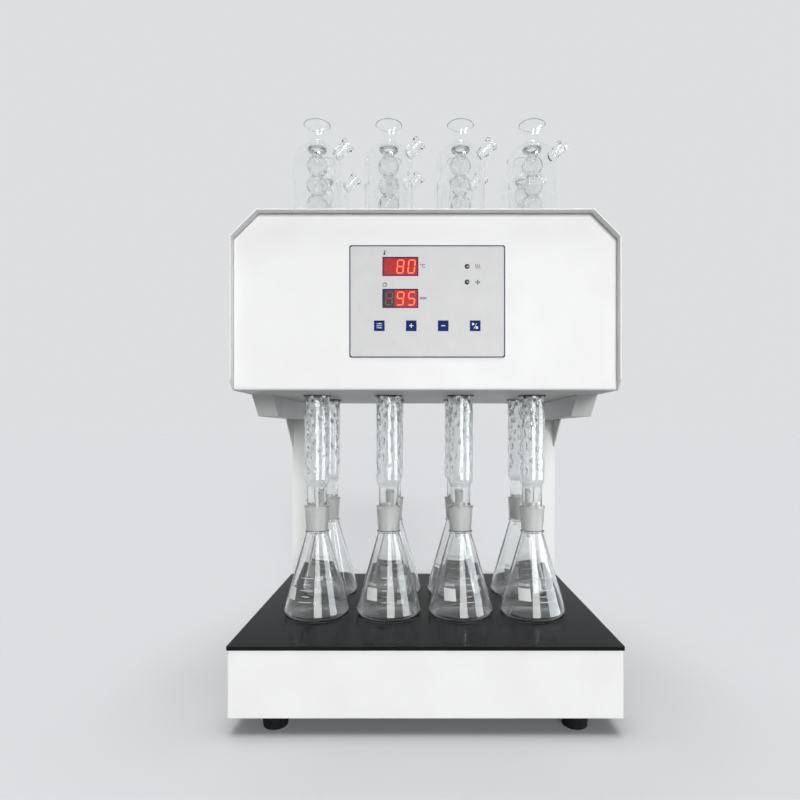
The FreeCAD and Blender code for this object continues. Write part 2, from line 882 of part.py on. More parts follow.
def make_fan_frame(x):
    """A square fan frame with its duct, stator hub, struts and shaft."""
    y0, y1 = fan_back_y() - fan_depth, fan_back_y()
    z = fan_centre_z()
    half = fan_size / 2
    frame = rounded_block(x - half, x + half, y0, y1, z - half, z + half, fan_corner_radius, BACK)
    frame = frame.cut(rod(x, y0 - cut_overrun, z, fan_duct_radius, fan_depth + 2 * cut_overrun, BACK))
    stator_y = y1 - fan_stator_depth
    hub = rod(x, stator_y, z, fan_hub_radius, fan_stator_depth, BACK)
    reach = fan_duct_radius + cut_overrun
    w = fan_strut_width / 2
    struts = block(x - reach, x + reach, stator_y, y1, z - w, z + w)
    struts = struts.fuse(block(x - w, x + w, stator_y, y1, z - reach, z + reach))
    shaft_y = stator_y - fan_rotor_gap - fan_rotor_depth
    shaft = rod(x, shaft_y, z, fan_shaft_radius, stator_y - shaft_y, BACK)
    return frame.fuse([hub, struts, shaft]).removeSplitter()


def make_fan_rotor(x):
    """A hub with pitched blades, bored for the shaft of its frame."""
    z = fan_centre_z()
    y1 = fan_back_y() - fan_stator_depth - fan_rotor_gap
    y0 = y1 - fan_rotor_depth
    hub = rod(x, y0, z, fan_hub_radius, fan_rotor_depth, BACK)
    tip = fan_duct_radius - fan_tip_gap
    chord = fan_rotor_depth / math.cos(math.radians(fan_blade_pitch_deg)) - 2 * fan_blade_thickness
    root = fan_hub_radius - fan_blade_thickness
    middle_y = (y0 + y1) / 2
    blades = []
    for number in range(fan_blades):
        blade = block(
            x - fan_blade_thickness / 2, x + fan_blade_thickness / 2,
            middle_y - chord / 2, middle_y + chord / 2, z + root, z + tip,
        )
        centre = VECTOR(x, middle_y, z)
        blade.rotate(centre, UP, fan_blade_pitch_deg)
        blade.rotate(centre, BACK, number * FULL_TURN_DEG / fan_blades)
        blades.append(blade)
    rotor = hub.fuse(blades)
    tube = rod(x, y0, z, tip, fan_rotor_depth, BACK)
    rotor = rotor.common(tube).removeSplitter()
    bore = rod(x, y0 - cut_overrun, z, fan_shaft_radius + fan_shaft_gap, fan_rotor_depth + 2 * cut_overrun, BACK)
    return rotor.cut(bore)


def make_condenser_seats():
    """Silicone seats in the hood that the water jackets stand on."""
    bore = tube_radius + tube_clearance
    ring = outline(
        (bore, head_top_z - seat_spigot_length),
        [
            (seat_spigot_radius, head_top_z - seat_spigot_length),
            (seat_spigot_radius, head_top_z),
            (seat_radius, head_top_z),
            (seat_radius, seat_top_z),
            (bore, seat_top_z),
        ],
    )
    return on_each_place(turned(ring))


def make_tube_guides():
    """Rubber guides in the floor of the head that keep the tubes upright."""
    bore = tube_radius + tube_clearance
    low = head_bottom_z - guide_thickness
    ring = outline(
        (bore, low),
        [
            (guide_radius, low),
            (guide_radius, head_bottom_z),
            (guide_spigot_radius, head_bottom_z),
            (guide_spigot_radius, head_bottom_z + guide_spigot_length),
            (bore, head_bottom_z + guide_spigot_length),
        ],
    )
    return on_each_place(turned(ring))


def make_panel_overlay():
    """The printed film on the front panel, with windows for displays, lamps and keys."""
    y0 = panel_y - overlay_thickness
    film = rounded_block(
        centre_x - overlay_width / 2, centre_x + overlay_width / 2, y0, panel_y,
        panel_centre_z - overlay_height / 2, panel_centre_z + overlay_height / 2,
        overlay_corner_radius, BACK,
    )
    return film.cut(panel_holes(y0 - cut_overrun, panel_y + cut_overrun, key_gap))


def board_front_y():
    """The front face of the display board."""
    return panel_y + head_sheet + board_standoff


def make_display_board():
    """The circuit board behind the front panel."""
    y = board_front_y()
    return block(
        centre_x - board_width / 2, centre_x + board_width / 2, y, y + board_thickness,
        panel_centre_z - board_height / 2, panel_centre_z + board_height / 2,
    )


def make_board_standoffs():
    """Four spacers between front panel and board."""
    x = board_width / 2 - standoff_inset
    z = board_height / 2 - standoff_inset
    places = [(sx * x, sz * z) for sx in (-1, 1) for sz in (-1, 1)]
    posts = [
        rod(centre_x + u, panel_y + head_sheet, panel_centre_z + v, standoff_radius, board_standoff, BACK)
        for u, v in places
    ]
    return Part.makeCompound(posts)


def make_digit_displays():
    """Two three-digit display modules on the board."""
    displays, _, _ = panel_places()
    y0 = panel_y - overlay_thickness + display_sink
    w, h = display_width / 2, display_height / 2
    return Part.makeCompound([block(x - w, x + w, y0, board_front_y(), z - h, z + h) for x, z in displays])


def make_indicator_lamps():
    """Two round indicator lamps on the board."""
    _, lamps, _ = panel_places()
    y0 = panel_y - overlay_thickness + display_sink
    made = []
    for x, z in lamps:
        lamp = rod(x, y0, z, lamp_radius, board_front_y() - y0, BACK)
        rim = rod(x, board_front_y() - lamp_flange, z, lamp_flange_radius, lamp_flange, BACK)
        made.append(lamp.fuse(rim).removeSplitter())
    return Part.makeCompound(made)


def make_key_switches():
    """Four push switches on the board, one behind each key."""
    _, _, keys = panel_places()
    y1 = board_front_y()
    y0 = y1 - switch_height
    half = switch_size / 2
    made = []
    for x, z in keys:
        body = block(x - half, x + half, y0, y1, z - half, z + half)
        made.append(body.fuse(rod(x, y0 - plunger_height, z, plunger_radius, plunger_height, BACK)))
    return Part.makeCompound(made)


def make_key(x, z):
    """One key: a square pad flush with the film and a stem to its switch."""
    y0 = panel_y - overlay_thickness - key_proud
    half = key_size / 2
    pad = rounded_block(x - half, x + half, y0, y0 + key_thickness, z - half, z + half, key_corner_radius, BACK)
    stem_end = board_front_y() - switch_height - plunger_height - key_travel - key_gap / 2
    stem = rod(x, y0 + key_thickness, z, key_stem_radius, stem_end - y0 - key_thickness, BACK)
    return pad.fuse(stem).removeSplitter()


def make_power_supply():
    """The low voltage supply on the floor of the head, behind the board."""
    y0 = panel_y + supply_inset
    z0 = head_bottom_z + head_sheet
    half = supply_width / 2
    return block(-half, half, y0, y0 + supply_depth, z0, z0 + supply_height)


def make_flask():
    """A conical flask with a ground neck, standing on Z zero."""
    heel_centre = (flask_foot_radius, flask_heel_radius)
    run = flask_foot_radius - flask_neck_radius
    rise = flask_cone_height - flask_heel_radius
    lean = math.atan2(run, rise) + math.asin(flask_heel_radius / math.hypot(run, rise))
    heel_arc = arc_step(heel_centre, flask_heel_radius, -QUARTER_TURN_DEG, math.degrees(lean))
    inner_heel = flask_heel_radius - flask_wall
    inner_start = (
        heel_centre[0] + inner_heel * math.cos(lean),
        heel_centre[1] + inner_heel * math.sin(lean),
    )
    neck_top = flask_cone_height + flask_neck_height
    collar = flask_cone_height + flask_collar_height
    joint_low = neck_top - joint_length
    joint_low_radius = joint_mouth_radius - joint_taper * joint_length / 2
    throat = flask_neck_radius - flask_wall / math.cos(lean) + flask_wall * math.tan(lean)
    wire = outline(
        (0, flask_punt_rise),
        [
            (flask_foot_radius - flask_wall, flask_punt_rise),
            (flask_foot_radius, 0),
            heel_arc,
            (flask_neck_radius, flask_cone_height),
            (flask_collar_radius, flask_cone_height + flask_collar_height / 2),
            (flask_neck_radius, collar),
            (flask_neck_mouth_radius, neck_top - flask_rim_height),
            (flask_rim_radius, neck_top - flask_rim_height / 2),
            (flask_rim_radius, neck_top),
            (joint_mouth_radius, neck_top),
            (joint_low_radius, joint_low),
            (throat, flask_cone_height - flask_wall),
            inner_start,
            (flask_foot_radius, flask_punt_rise + flask_wall),
            (0, flask_punt_rise + flask_wall),
        ],
    )
    return turned(wire)


def bulb_steps(low_z, count, radius, throat):
    """Outline steps down a chain of bulbs, each an arc between two throats."""
    rise = math.degrees(math.asin(throat / radius))
    side = QUARTER_TURN_DEG - rise
    half = radius * math.cos(math.radians(rise))
    steps = []
    for number in reversed(range(count)):
        centre = (0, low_z + number * bulb_pitch)
        steps += [(throat, centre[1] + half), arc_step(centre, radius, side, -side)]
    return steps


def make_condenser_body():
    """The turned glass: mouth, dome, water jacket, bulb chain, reflux tube, ground joint and drip tip."""
    joint_low = neck_top_z - joint_length
    joint_top_radius = joint_mouth_radius - joint_gap
    joint_low_radius = joint_top_radius - joint_taper * joint_length / 2
    taper_low = neck_top_z + taper_start
    bulb_low = seat_top_z + bulb_inset
    chain_top = dome_top_z - jacket_wall
    foot_centre = (jacket_radius - jacket_foot_radius, seat_top_z + jacket_foot_radius)
    dome_centre = (jacket_radius - dome_radius, dome_start_z)
    neck_z = dome_top_z + mouth_neck_length
    tube_bore = tube_radius - glass_wall
    throat_bore = throat_radius - bulb_wall
    neck_radius = dome_centre[0]
    neck_bore = neck_radius - mouth_wall
    shoulder = tube_radius - throat_bore
    outer = outline(
        (tip_radius - bulb_wall, joint_low - tip_length),
        [
            (tip_radius, joint_low - tip_length),
            (tip_radius, joint_low - glass_wall),
            (joint_low_radius, joint_low),
            (joint_top_radius, neck_top_z),
            (joint_top_radius, taper_low),
            (tube_radius, taper_low + taper_length),
            (tube_radius, seat_top_z),
            (foot_centre[0], seat_top_z),
            arc_step(foot_centre, jacket_foot_radius, -QUARTER_TURN_DEG, 0),
            (jacket_radius, dome_start_z),
            arc_step(dome_centre, dome_radius, 0, QUARTER_TURN_DEG),
            (neck_radius, neck_z),
            (mouth_radius, mouth_z),
            (mouth_radius - mouth_wall, mouth_z),
            (neck_bore, neck_z),
            (neck_bore, chain_top),
            (throat_bore, bulb_low + (bulb_count - 1) * bulb_pitch + bulb_radius),
        ]
        + bulb_steps(bulb_low, bulb_count, bulb_radius - bulb_wall, throat_bore)
        + [
            (throat_bore, seat_top_z),
            (tube_bore, seat_top_z - shoulder),
            (tube_bore, taper_low + taper_length),
            (joint_top_radius - glass_wall, taper_low),
            (joint_low_radius - glass_wall, joint_low + glass_wall),
            (tip_radius - bulb_wall, joint_low - glass_wall),
        ],
    )
    hollow = outline(
        (throat_radius, seat_top_z + jacket_wall),
        [
            (foot_centre[0], seat_top_z + jacket_wall),
            (jacket_radius - jacket_wall, foot_centre[1]),
            (jacket_radius - jacket_wall, dome_start_z),
            arc_step(dome_centre, dome_radius - jacket_wall, 0, QUARTER_TURN_DEG),
            (throat_radius, bulb_low + (bulb_count - 1) * bulb_pitch + bulb_radius),
        ]
        + bulb_steps(bulb_low, bulb_count, bulb_radius, throat_radius),
    )
    return turned(outer, hollow)


def port_frame():
    """Foot on the dome and direction of the side port, on a condenser that stands at the origin."""
    tilt = math.radians(port_tilt_deg)
    direction = VECTOR(math.cos(tilt), 0, math.sin(tilt))
    reach = jacket_radius - dome_radius + math.sqrt(dome_radius**2 - port_rise**2)
    return VECTOR(reach, 0, dome_start_z + port_rise), direction


def add_port(glass):
    """The filling port on the shoulder of the jacket, bored through into the water space."""
    foot, direction = port_frame()
    root = foot - direction * port_radius
    stub = Part.makeCylinder(port_radius, port_length + port_radius, root, direction)
    rim_foot = foot + direction * (port_length - port_rim_length)
    rim = Part.makeCylinder(port_rim_radius, port_rim_length, rim_foot, direction)
    stub = stub.fuse(rim)
    centre = (jacket_radius - dome_radius, dome_start_z)
    dome = turned(
        outline(
            (0, dome_start_z - dome_radius),
            [
                (jacket_radius - jacket_wall / 2, dome_start_z - dome_radius),
                (jacket_radius - jacket_wall / 2, dome_start_z),
                arc_step(centre, dome_radius - jacket_wall / 2, 0, QUARTER_TURN_DEG),
                (0, dome_start_z + dome_radius - jacket_wall / 2),
            ],
        )
    )
    glass = glass.fuse(stub.cut(dome)).removeSplitter()
    bore = Part.makeCylinder(port_bore, port_length + 2 * port_radius, root, direction)
    return glass.cut(bore)


def add_thorns(glass):
    """Rows of glass thorns that point inwards and down in the reflux tube below the head."""
    bore = tube_radius - glass_wall
    low = neck_top_z + taper_start + taper_length + thorn_margin
    half = thorn_base / 2
    thorns = []
    for row in range(thorn_rows):
        z = low + row * thorn_pitch
        for number in range(thorns_per_row):
            root_x = bore + glass_wall / 2
            corners = [
                VECTOR(root_x, -half, z - half),
                VECTOR(root_x, half, z - half),
                VECTOR(root_x, half, z + half),
                VECTOR(root_x, -half, z + half),
            ]
            tip = VECTOR(bore - thorn_length, 0, z - thorn_droop)
            faces = [Part.Face(Part.makePolygon([corners[3], corners[2], corners[1], corners[0], corners[3]]))]
            for side in range(4):
                a, b = corners[side], corners[(side + 1) % 4]
                faces.append(Part.Face(Part.makePolygon([a, b, tip, a])))
            thorn = Part.Solid(Part.Shell(faces))
            turn = number * FULL_TURN_DEG / thorns_per_row + row * thorn_turn_deg
            thorn.rotate(VECTOR(0, 0, 0), UP, turn)
            thorns.append(thorn)
    return glass.fuse(thorns).removeSplitter()


def bevel_tip(glass):
    """The slanted end of the drip tip."""
    low = neck_top_z - joint_length - tip_length
    reach = tip_radius + cut_overrun
    wedge = [
        VECTOR(-reach, -reach, low - cut_overrun),
        VECTOR(reach, -reach, low - cut_overrun),
        VECTOR(reach, -reach, low + tip_bevel),
    ]
    return glass.cut(prism(wedge, BACK * (2 * reach)))


def main():
    os.makedirs("parts", exist_ok=True)
    save("base_shell", make_base_shell())
    save("base_bottom", make_base_bottom())
    save("rubber_feet", make_feet())
    save("foot_screws", make_foot_screws())
    save("glass_top", make_glass_top())
    save("heater_tray", make_heater_tray())
    save("heater_dishes", make_heater_dishes())
    save("heater_discs", make_heater_discs())
    save("temperature_probe", make_temperature_probe())
    save("relay_heatsink", make_relay_heatsink())
    save("solid_state_relay", make_solid_state_relay())
    save("terminal_block", make_terminal_block())
    save("power_inlet", make_power_inlet())
    save("inlet_pins", make_inlet_pins())
    save("rocker_frame", make_rocker_frame())
    save("rocker_paddle", make_rocker_paddle())
    for side, x0, x1 in column_places():
        save("column_" + side, make_column(x0, x1))
        save("arm_" + side, make_arm(x0, x1))
        save("gusset_" + side, make_gusset(x0 if x0 < 0 else x1 - gusset_thickness))
    save("column_bolts", make_column_bolts())
    save("head_chassis", make_head_chassis())
    save("head_hood", make_head_hood())
    save("head_back_panel", make_head_back_panel())
    save("condenser_seats", make_condenser_seats())
    save("tube_guides", make_tube_guides())
    for side, x in fan_places():
        save("fan_frame_" + side, make_fan_frame(x))
        save("fan_rotor_" + side, make_fan_rotor(x))
    save("panel_overlay", make_panel_overlay())
    save("display_board", make_display_board())
    save("board_standoffs", make_board_standoffs())
    save("digit_displays", make_digit_displays())
    save("indicator_lamps", make_indicator_lamps())
    save("key_switches", make_key_switches())
    _, _, keys = panel_places()
    for name, (x, z) in zip(("set", "up", "down", "start"), keys):
        save("key_" + name, make_key(x, z))
    save("power_supply", make_power_supply())
    flask = make_flask()
    condenser = bevel_tip(add_thorns(add_port(make_condenser_body())))
    for row, column, x, y in flask_places():
        number = str(column + 1)
        save("flask_" + row + "_" + number, placed(flask, x, y, glass_top_z))
        save("condenser_" + row + "_" + number, placed(condenser, x, y, 0.0, port_turn_deg[column]))


main()
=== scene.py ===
# %% [markdown]
# # A reactor for chemical oxygen demand tests
# This bench instrument boils eight water samples at once. A white base carries a black
# glass-ceramic hotplate, two columns hold a head cabinet, and eight glass condensers drop
# through the head into eight conical flasks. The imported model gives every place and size, and
# this file gives each piece its finish and its fine detail. All lengths are in metres.

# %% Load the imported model
import json
import math
import random

import bmesh
import bpy
from mathutils import Matrix, Vector


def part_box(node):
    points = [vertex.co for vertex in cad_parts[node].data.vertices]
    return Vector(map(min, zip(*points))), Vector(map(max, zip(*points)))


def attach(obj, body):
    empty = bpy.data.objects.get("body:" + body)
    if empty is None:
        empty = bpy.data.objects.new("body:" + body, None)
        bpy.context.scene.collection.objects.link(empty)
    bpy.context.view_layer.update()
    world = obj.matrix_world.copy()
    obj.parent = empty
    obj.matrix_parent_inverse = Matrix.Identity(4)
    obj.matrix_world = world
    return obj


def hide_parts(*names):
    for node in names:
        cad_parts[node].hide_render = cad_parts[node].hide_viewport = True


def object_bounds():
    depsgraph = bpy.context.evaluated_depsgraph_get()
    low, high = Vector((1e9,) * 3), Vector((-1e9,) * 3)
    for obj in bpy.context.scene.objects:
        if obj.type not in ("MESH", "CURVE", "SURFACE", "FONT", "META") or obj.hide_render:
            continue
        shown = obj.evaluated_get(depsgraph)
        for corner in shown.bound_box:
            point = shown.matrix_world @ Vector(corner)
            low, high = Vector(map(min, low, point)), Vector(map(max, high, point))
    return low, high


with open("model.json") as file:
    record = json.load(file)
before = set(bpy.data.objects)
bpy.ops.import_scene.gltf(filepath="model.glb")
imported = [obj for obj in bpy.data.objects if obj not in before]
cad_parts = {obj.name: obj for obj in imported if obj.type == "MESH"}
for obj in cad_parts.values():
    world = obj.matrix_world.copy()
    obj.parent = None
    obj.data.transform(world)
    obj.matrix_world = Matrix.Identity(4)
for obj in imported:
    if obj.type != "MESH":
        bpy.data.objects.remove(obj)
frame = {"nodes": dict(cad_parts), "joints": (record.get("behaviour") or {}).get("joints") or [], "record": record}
cad_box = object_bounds()
nodes = frame["nodes"]
scene = bpy.context.scene
MM = 0.001
FULL_TURN = 2 * math.pi

# %% [markdown]
# ## Places that the model gives
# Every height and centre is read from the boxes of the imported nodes, so a piece made here
# always lands where its node is. The names below are used all through the file.

# %% Read the places
floor_z = cad_box[0][2]
base_low, base_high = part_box("base_shell")
head_low, head_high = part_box("head_hood")
film_low, film_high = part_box("panel_overlay")
seat_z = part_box("condenser_seats")[1].z
tip_z, mouth_z = (corner.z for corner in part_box("condenser_front_1"))
neck_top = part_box("flask_front_1")[1].z
places = {}
for row in ("front", "rear"):
    for number in (1, 2, 3, 4):
        tag = "%s_%d" % (row, number)
        low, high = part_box("flask_" + tag)
        places[tag] = ((low.x + high.x) / 2, (low.y + high.y) / 2)
print("flask centres in mm:", {k: (round(x / MM), round(y / MM)) for k, (x, y) in places.items()})

# %% [markdown]
# ## Camera
# The photograph was taken level with the head of the flasks, close to the instrument. Its
# perspective gives the distance, and two small lens shifts put the horizon and the vanishing
# point where they are in the picture, so the camera itself stays level and looks along +Y.

# %% Set the camera
photo_width = 800
photo_focal = 565.0
horizon_row = 432
vanishing_column = 419.5
sensor_width = 36.0
camera_distance = 582 * MM
camera_height = 314 * MM
camera_side = -6.2 * MM
near_clip = 10 * MM

lens = bpy.data.cameras.new("photo_camera")
lens.sensor_width = sensor_width
lens.lens = sensor_width * photo_focal / photo_width
lens.shift_x = -(vanishing_column - photo_width / 2) / photo_width
lens.shift_y = (horizon_row - photo_width / 2) / photo_width
lens.clip_start = near_clip
camera = bpy.data.objects.new("photo_camera", lens)
camera.location = (camera_side, base_low.y - camera_distance, floor_z + camera_height)
camera.rotation_euler = (math.radians(90), 0, 0)
scene.collection.objects.link(camera)
scene.camera = camera
print("lens in mm:", round(lens.lens, 2), "camera at", [round(v, 3) for v in camera.location])

# %% [markdown]
# ## Shader helpers
# Most finishes are one Principled shader with plain values on its own sockets, and then a
# little noise: in the colour, in the roughness, or in the height. `mottle`, `scuff` and `grain`
# add the noise, and `finish` makes a whole material and keeps it under its name. Noise reads
# object coordinates, so its widths are real lengths, given in millimetres, and need no unwrapping.

# %% Define the shader helpers
SOCKET_NAMES = {
    "metal": "Metallic", "rough": "Roughness", "ior": "IOR", "clear": "Transmission Weight",
    "coat": "Coat Weight", "specular": "Specular IOR Level", "glow": "Emission Strength",
}
FINISHES = {}
noise_low = 0.35
noise_high = 0.65
noise_detail = 3.0
scuff_detail = 4.0


def noise_of(material, width, detail, stretch=(1, 1, 1)):
    """A noise texture whose features are about as wide as the length given."""
    tree = material.node_tree
    place = tree.nodes.new("ShaderNodeTexCoord")
    scale = tree.nodes.new("ShaderNodeMapping")
    scale.inputs["Scale"].default_value = stretch
    noise = tree.nodes.new("ShaderNodeTexNoise")
    noise.inputs["Scale"].default_value = 1 / (width * MM)
    noise.inputs["Detail"].default_value = detail
    tree.links.new(place.outputs["Object"], scale.inputs["Vector"])
    tree.links.new(scale.outputs["Vector"], noise.inputs["Vector"])
    return noise.outputs["Fac"]


def mottle(material, other, width):
    """Lets the base colour drift between its own value and another one."""
    tree = material.node_tree
    shader = tree.nodes["Principled BSDF"]
    ramp = tree.nodes.new("ShaderNodeValToRGB")
    first, last = ramp.color_ramp.elements
    first.position, last.position = noise_low, noise_high
    first.color = shader.inputs["Base Color"].default_value[:]
    last.color = (*other, 1)
    tree.links.new(noise_of(material, width, noise_detail), ramp.inputs["Fac"])
    tree.links.new(ramp.outputs["Color"], shader.inputs["Base Color"])


def scuff(material, low, high, width):
    """Lets the roughness vary, as handling and wiping leave it."""
    tree = material.node_tree
    spread = tree.nodes.new("ShaderNodeMapRange")
    ends = {"From Min": noise_low, "From Max": noise_high, "To Min": low, "To Max": high}
    for socket, number in ends.items():
        spread.inputs[socket].default_value = number
    tree.links.new(noise_of(material, width, scuff_detail), spread.inputs["Value"])
    tree.links.new(spread.outputs["Result"], tree.nodes["Principled BSDF"].inputs["Roughness"])


def grain(material, width, height, detail=2.0, stretch=(1, 1, 1)):
    """Adds a fine relief: its width and its height are real lengths."""
    tree = material.node_tree
    bump = tree.nodes.new("ShaderNodeBump")
    bump.inputs["Strength"].default_value = 1.0
    bump.inputs["Distance"].default_value = height * MM
    tree.links.new(noise_of(material, width, detail, stretch), bump.inputs["Height"])
    tree.links.new(bump.outputs["Normal"], tree.nodes["Principled BSDF"].inputs["Normal"])


def finish(name, colour, drift=None, relief=None, **values):
    """A Principled material with plain values on its own sockets. The drift is another colour
    and a width, and the relief is a width, a height and what else `grain` takes."""
    material = bpy.data.materials.new(name)
    material.use_nodes = True
    shader = material.node_tree.nodes["Principled BSDF"]
    shader.inputs["Base Color"].default_value = (*colour, 1)
    if "glow" in values:
        shader.inputs["Emission Color"].default_value = (*colour, 1)
    for key, value in values.items():
        shader.inputs[SOCKET_NAMES[key]].default_value = value
    if drift:
        mottle(material, *drift)
    if relief:
        grain(material, *relief)
    FINISHES[name] = material
    return material


def shown_rays(tree):
    """One for the rays that show a thing: seen straight, mirrored or through glass."""
    path = tree.nodes.new("ShaderNodeLightPath")
    total = path.outputs["Is Camera Ray"]
    for kind in ("Is Glossy Ray", "Is Transmission Ray"):
        adder = tree.nodes.new("ShaderNodeMath")
        adder.operation = "ADD"
        adder.use_clamp = True
        tree.links.new(total, adder.inputs[0])
        tree.links.new(path.outputs[kind], adder.inputs[1])
        total = adder.outputs[0]
    return total


print("shader helpers ready")

# %% [markdown]
# ## Painted sheet, metals, plastics and rubber
# The cabinet is powder-coated: a satin white whose surface ripples like orange peel. The inner
# brackets are zinc-plated. The bottom cover has a near-black finish, which is painted shade: it
# darkens the floor seen under the base. The heat sink is bare aluminium, and the feet are black
# rubber. Each gets its own noise at the real finish's size.

# %% Make the opaque finishes
white = finish(
    "white_coat", (0.80, 0.80, 0.79), drift=((0.83, 0.83, 0.825), 60), relief=(0.9, 0.012),
    rough=0.42, specular=0.15,
)
scuff(white, 0.36, 0.5, 25)

finish(
    "zinc_steel", (0.55, 0.56, 0.57), drift=((0.68, 0.68, 0.66), 6), relief=(0.5, 0.01),
    metal=1.0, rough=0.35,
)
# Near-black finish for the bottom cover: painted shade that darkens the floor seen under the base.
underside_painted_shade = finish(
    "underside_painted_shade", (0.06, 0.06, 0.062), drift=((0.08, 0.08, 0.082), 9), relief=(0.6, 0.02),
    rough=0.6, specular=0.2,
)
finish("bright_steel", (0.66, 0.66, 0.67), relief=(0.3, 0.005, 2.0, (1, 1, 0.1)), metal=1.0, rough=0.25)
finish("fin_aluminium", (0.72, 0.73, 0.75), relief=(0.4, 0.01, 2.0, (1, 0.1, 1)), metal=1.0, rough=0.4)
finish("plated_brass", (0.78, 0.74, 0.6), drift=((0.7, 0.66, 0.56), 3), metal=1.0, rough=0.28)

finish(
    "black_rubber", (0.004, 0.004, 0.0045), drift=((0.008, 0.008, 0.0085), 8), relief=(0.6, 0.03),
    rough=0.7, specular=0.12,
)
finish("dark_rubber", (0.01, 0.01, 0.01), relief=(0.7, 0.03), rough=0.8, specular=0.3)
finish("white_silicone", (0.74, 0.74, 0.72), relief=(1.2, 0.02), rough=0.55)
finish(
    "black_plastic", (0.014, 0.014, 0.015), drift=((0.02, 0.02, 0.022), 10), relief=(0.35, 0.015),
    rough=0.45,
)
finish("green_board", (0.02, 0.13, 0.05), drift=((0.03, 0.17, 0.07), 2), rough=0.35)
finish(
    "fibre_board", (0.66, 0.64, 0.58), drift=((0.74, 0.72, 0.66), 4), relief=(0.8, 0.12, 6.0),
    rough=0.9,
)
finish("heating_disc", (0.09, 0.08, 0.08), drift=((0.13, 0.11, 0.1), 3), relief=(1.5, 0.1), rough=0.7)
print("opaque finishes:", len(FINISHES))

# %% [markdown]
# ## The hotplate's glass-ceramic
# The plate is nearly black and polished, so what shows is mostly reflection. Wiping leaves a
# faint haze, which is a slow change in roughness, and the surface has very small ripples.

# %% Make the glass-ceramic
ceramic = finish(
    "black_ceramic", (0.008, 0.0085, 0.009), drift=((0.012, 0.0125, 0.013), 45), relief=(14, 0.012),
    rough=0.08, ior=1.5, specular=0.03,
)
scuff(ceramic, 0.05, 0.16, 40)
print("glass-ceramic ready")

# %% [markdown]
# ## Laboratory glass
# Borosilicate glass is clear, with a light index of 1.47. It is modelled with real walls, so
# edges darken and bulbs flash by themselves. The ground joints are sandblasted glass: pale,
# rough and only half clear. Inside a condenser the tube's wall is misted and the bulbs carry
# dew, which softens what shows through them. At a rim or a seal, where the glass is thick, it is
# tinted dark grey, which is painted shade. A flask's base has a low light index, so that the
# black plate shows through it, and a grey tint that is painted shade as well. White enamel is
# fired on for the graduations.

# %% Make the glasses
glass_index = 1.47
base_index = 1.15
smooth_relief = (16, 0.02, 1.0)


def glass(name, colour, rough=0.0, clear=1.0, ior=glass_index, **noise):
    """A glass: polished and fully clear where nothing else is said."""
    return finish(name, colour, rough=rough, ior=ior, clear=clear, **noise)


clear_glass = glass("clear_glass", (0.985, 0.992, 0.99), relief=smooth_relief)
ground_glass = glass(
    "ground_glass", (0.92, 0.92, 0.905), drift=((0.85, 0.85, 0.835), 3), relief=(0.35, 0.02),
    rough=0.45, clear=0.74,
)
misted_glass = glass(
    "misted_glass", (0.96, 0.97, 0.97), drift=((0.90, 0.91, 0.915), 1.6), relief=(1.5, 0.14),
    rough=0.10, clear=0.86,
)
dewy_glass = glass("dewy_glass", (1.0, 1.0, 1.0), drift=((0.86, 0.865, 0.87), 5), relief=(6, 1.5))
# A dark grey tint for rims and seals: painted shade where thick glass would look dark.
painted_shade_glass = glass("painted_shade_glass", (0.42, 0.43, 0.44), relief=(5, 0.03))
# The grey tint on the flask's base is painted shade, which darkens the base.
base_shade_glass = glass("base_shade_glass", (0.66, 0.67, 0.67), relief=smooth_relief, ior=base_index)
enamel = finish("white_enamel", (0.64, 0.64, 0.635), relief=(0.5, 0.01), rough=0.5)
print("glasses ready")

# %% [markdown]
# ## Control panel finishes
# The panel is a printed film, pale grey with a navy line and navy keys. Behind its windows are
# red seven-segment displays. A lit segment gives light of its own, and an unlit one is a dull
# brown bar behind the red filter.

# %% Make the panel finishes
finish(
    "grey_film", (0.60, 0.60, 0.595), drift=((0.62, 0.62, 0.617), 12), relief=(0.4, 0.006),
    rough=0.4, specular=0.15,
)
navy = finish(
    "navy_ink", (0.008, 0.014, 0.075), drift=((0.011, 0.018, 0.09), 2),
    rough=0.45, specular=0.06,
)
finish(
    "blue_key", (0.003, 0.018, 0.15), drift=((0.005, 0.020, 0.16), 4), relief=(0.4, 0.006),
    rough=0.38, specular=0.03,
)
white_ink = finish("white_ink", (0.8, 0.82, 0.85), relief=(0.3, 0.004), rough=0.5)

finish("red_display", (0.30, 0.008, 0.01), drift=((0.34, 0.012, 0.012), 5), rough=0.2, specular=0.06)
red_glow = finish(
    "red_glow", (0.36, 0.012, 0.014), drift=((0.42, 0.016, 0.018), 4),
    rough=0.25, specular=0.05, glow=0.5,
)
dark_window = finish(
    "dark_window", (0.035, 0.012, 0.02), drift=((0.05, 0.016, 0.026), 4),
    rough=0.2, specular=0.1,
)
lit_bar = finish(
    "lit_bar", (0.80, 0.20, 0.11), drift=((0.80, 0.25, 0.15), 2),
    rough=0.3, specular=0.05, glow=0.55,
)
dim_bar = finish("dim_bar", (0.17, 0.07, 0.06), drift=((0.21, 0.09, 0.08), 2), rough=0.3, specular=0.06)
finish("dark_lamp", (0.035, 0.036, 0.038), drift=((0.05, 0.05, 0.052), 1.5), rough=0.25, coat=0.4)
print("finishes:", sorted(FINISHES))

# %% [markdown]
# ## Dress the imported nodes
# A node whose shape is already right keeps its mesh and only changes its material. The record
# names the slot of each node, so one loop is enough. Nodes that are replaced later by a finer
# piece are dressed as well, which does no harm.

# %% Give every node its finish
for entry in frame["record"]["subparts"]:
    mesh = nodes[entry["node"]].data
    mesh.materials.clear()
    mesh.materials.append(FINISHES[entry["material_slot"]])

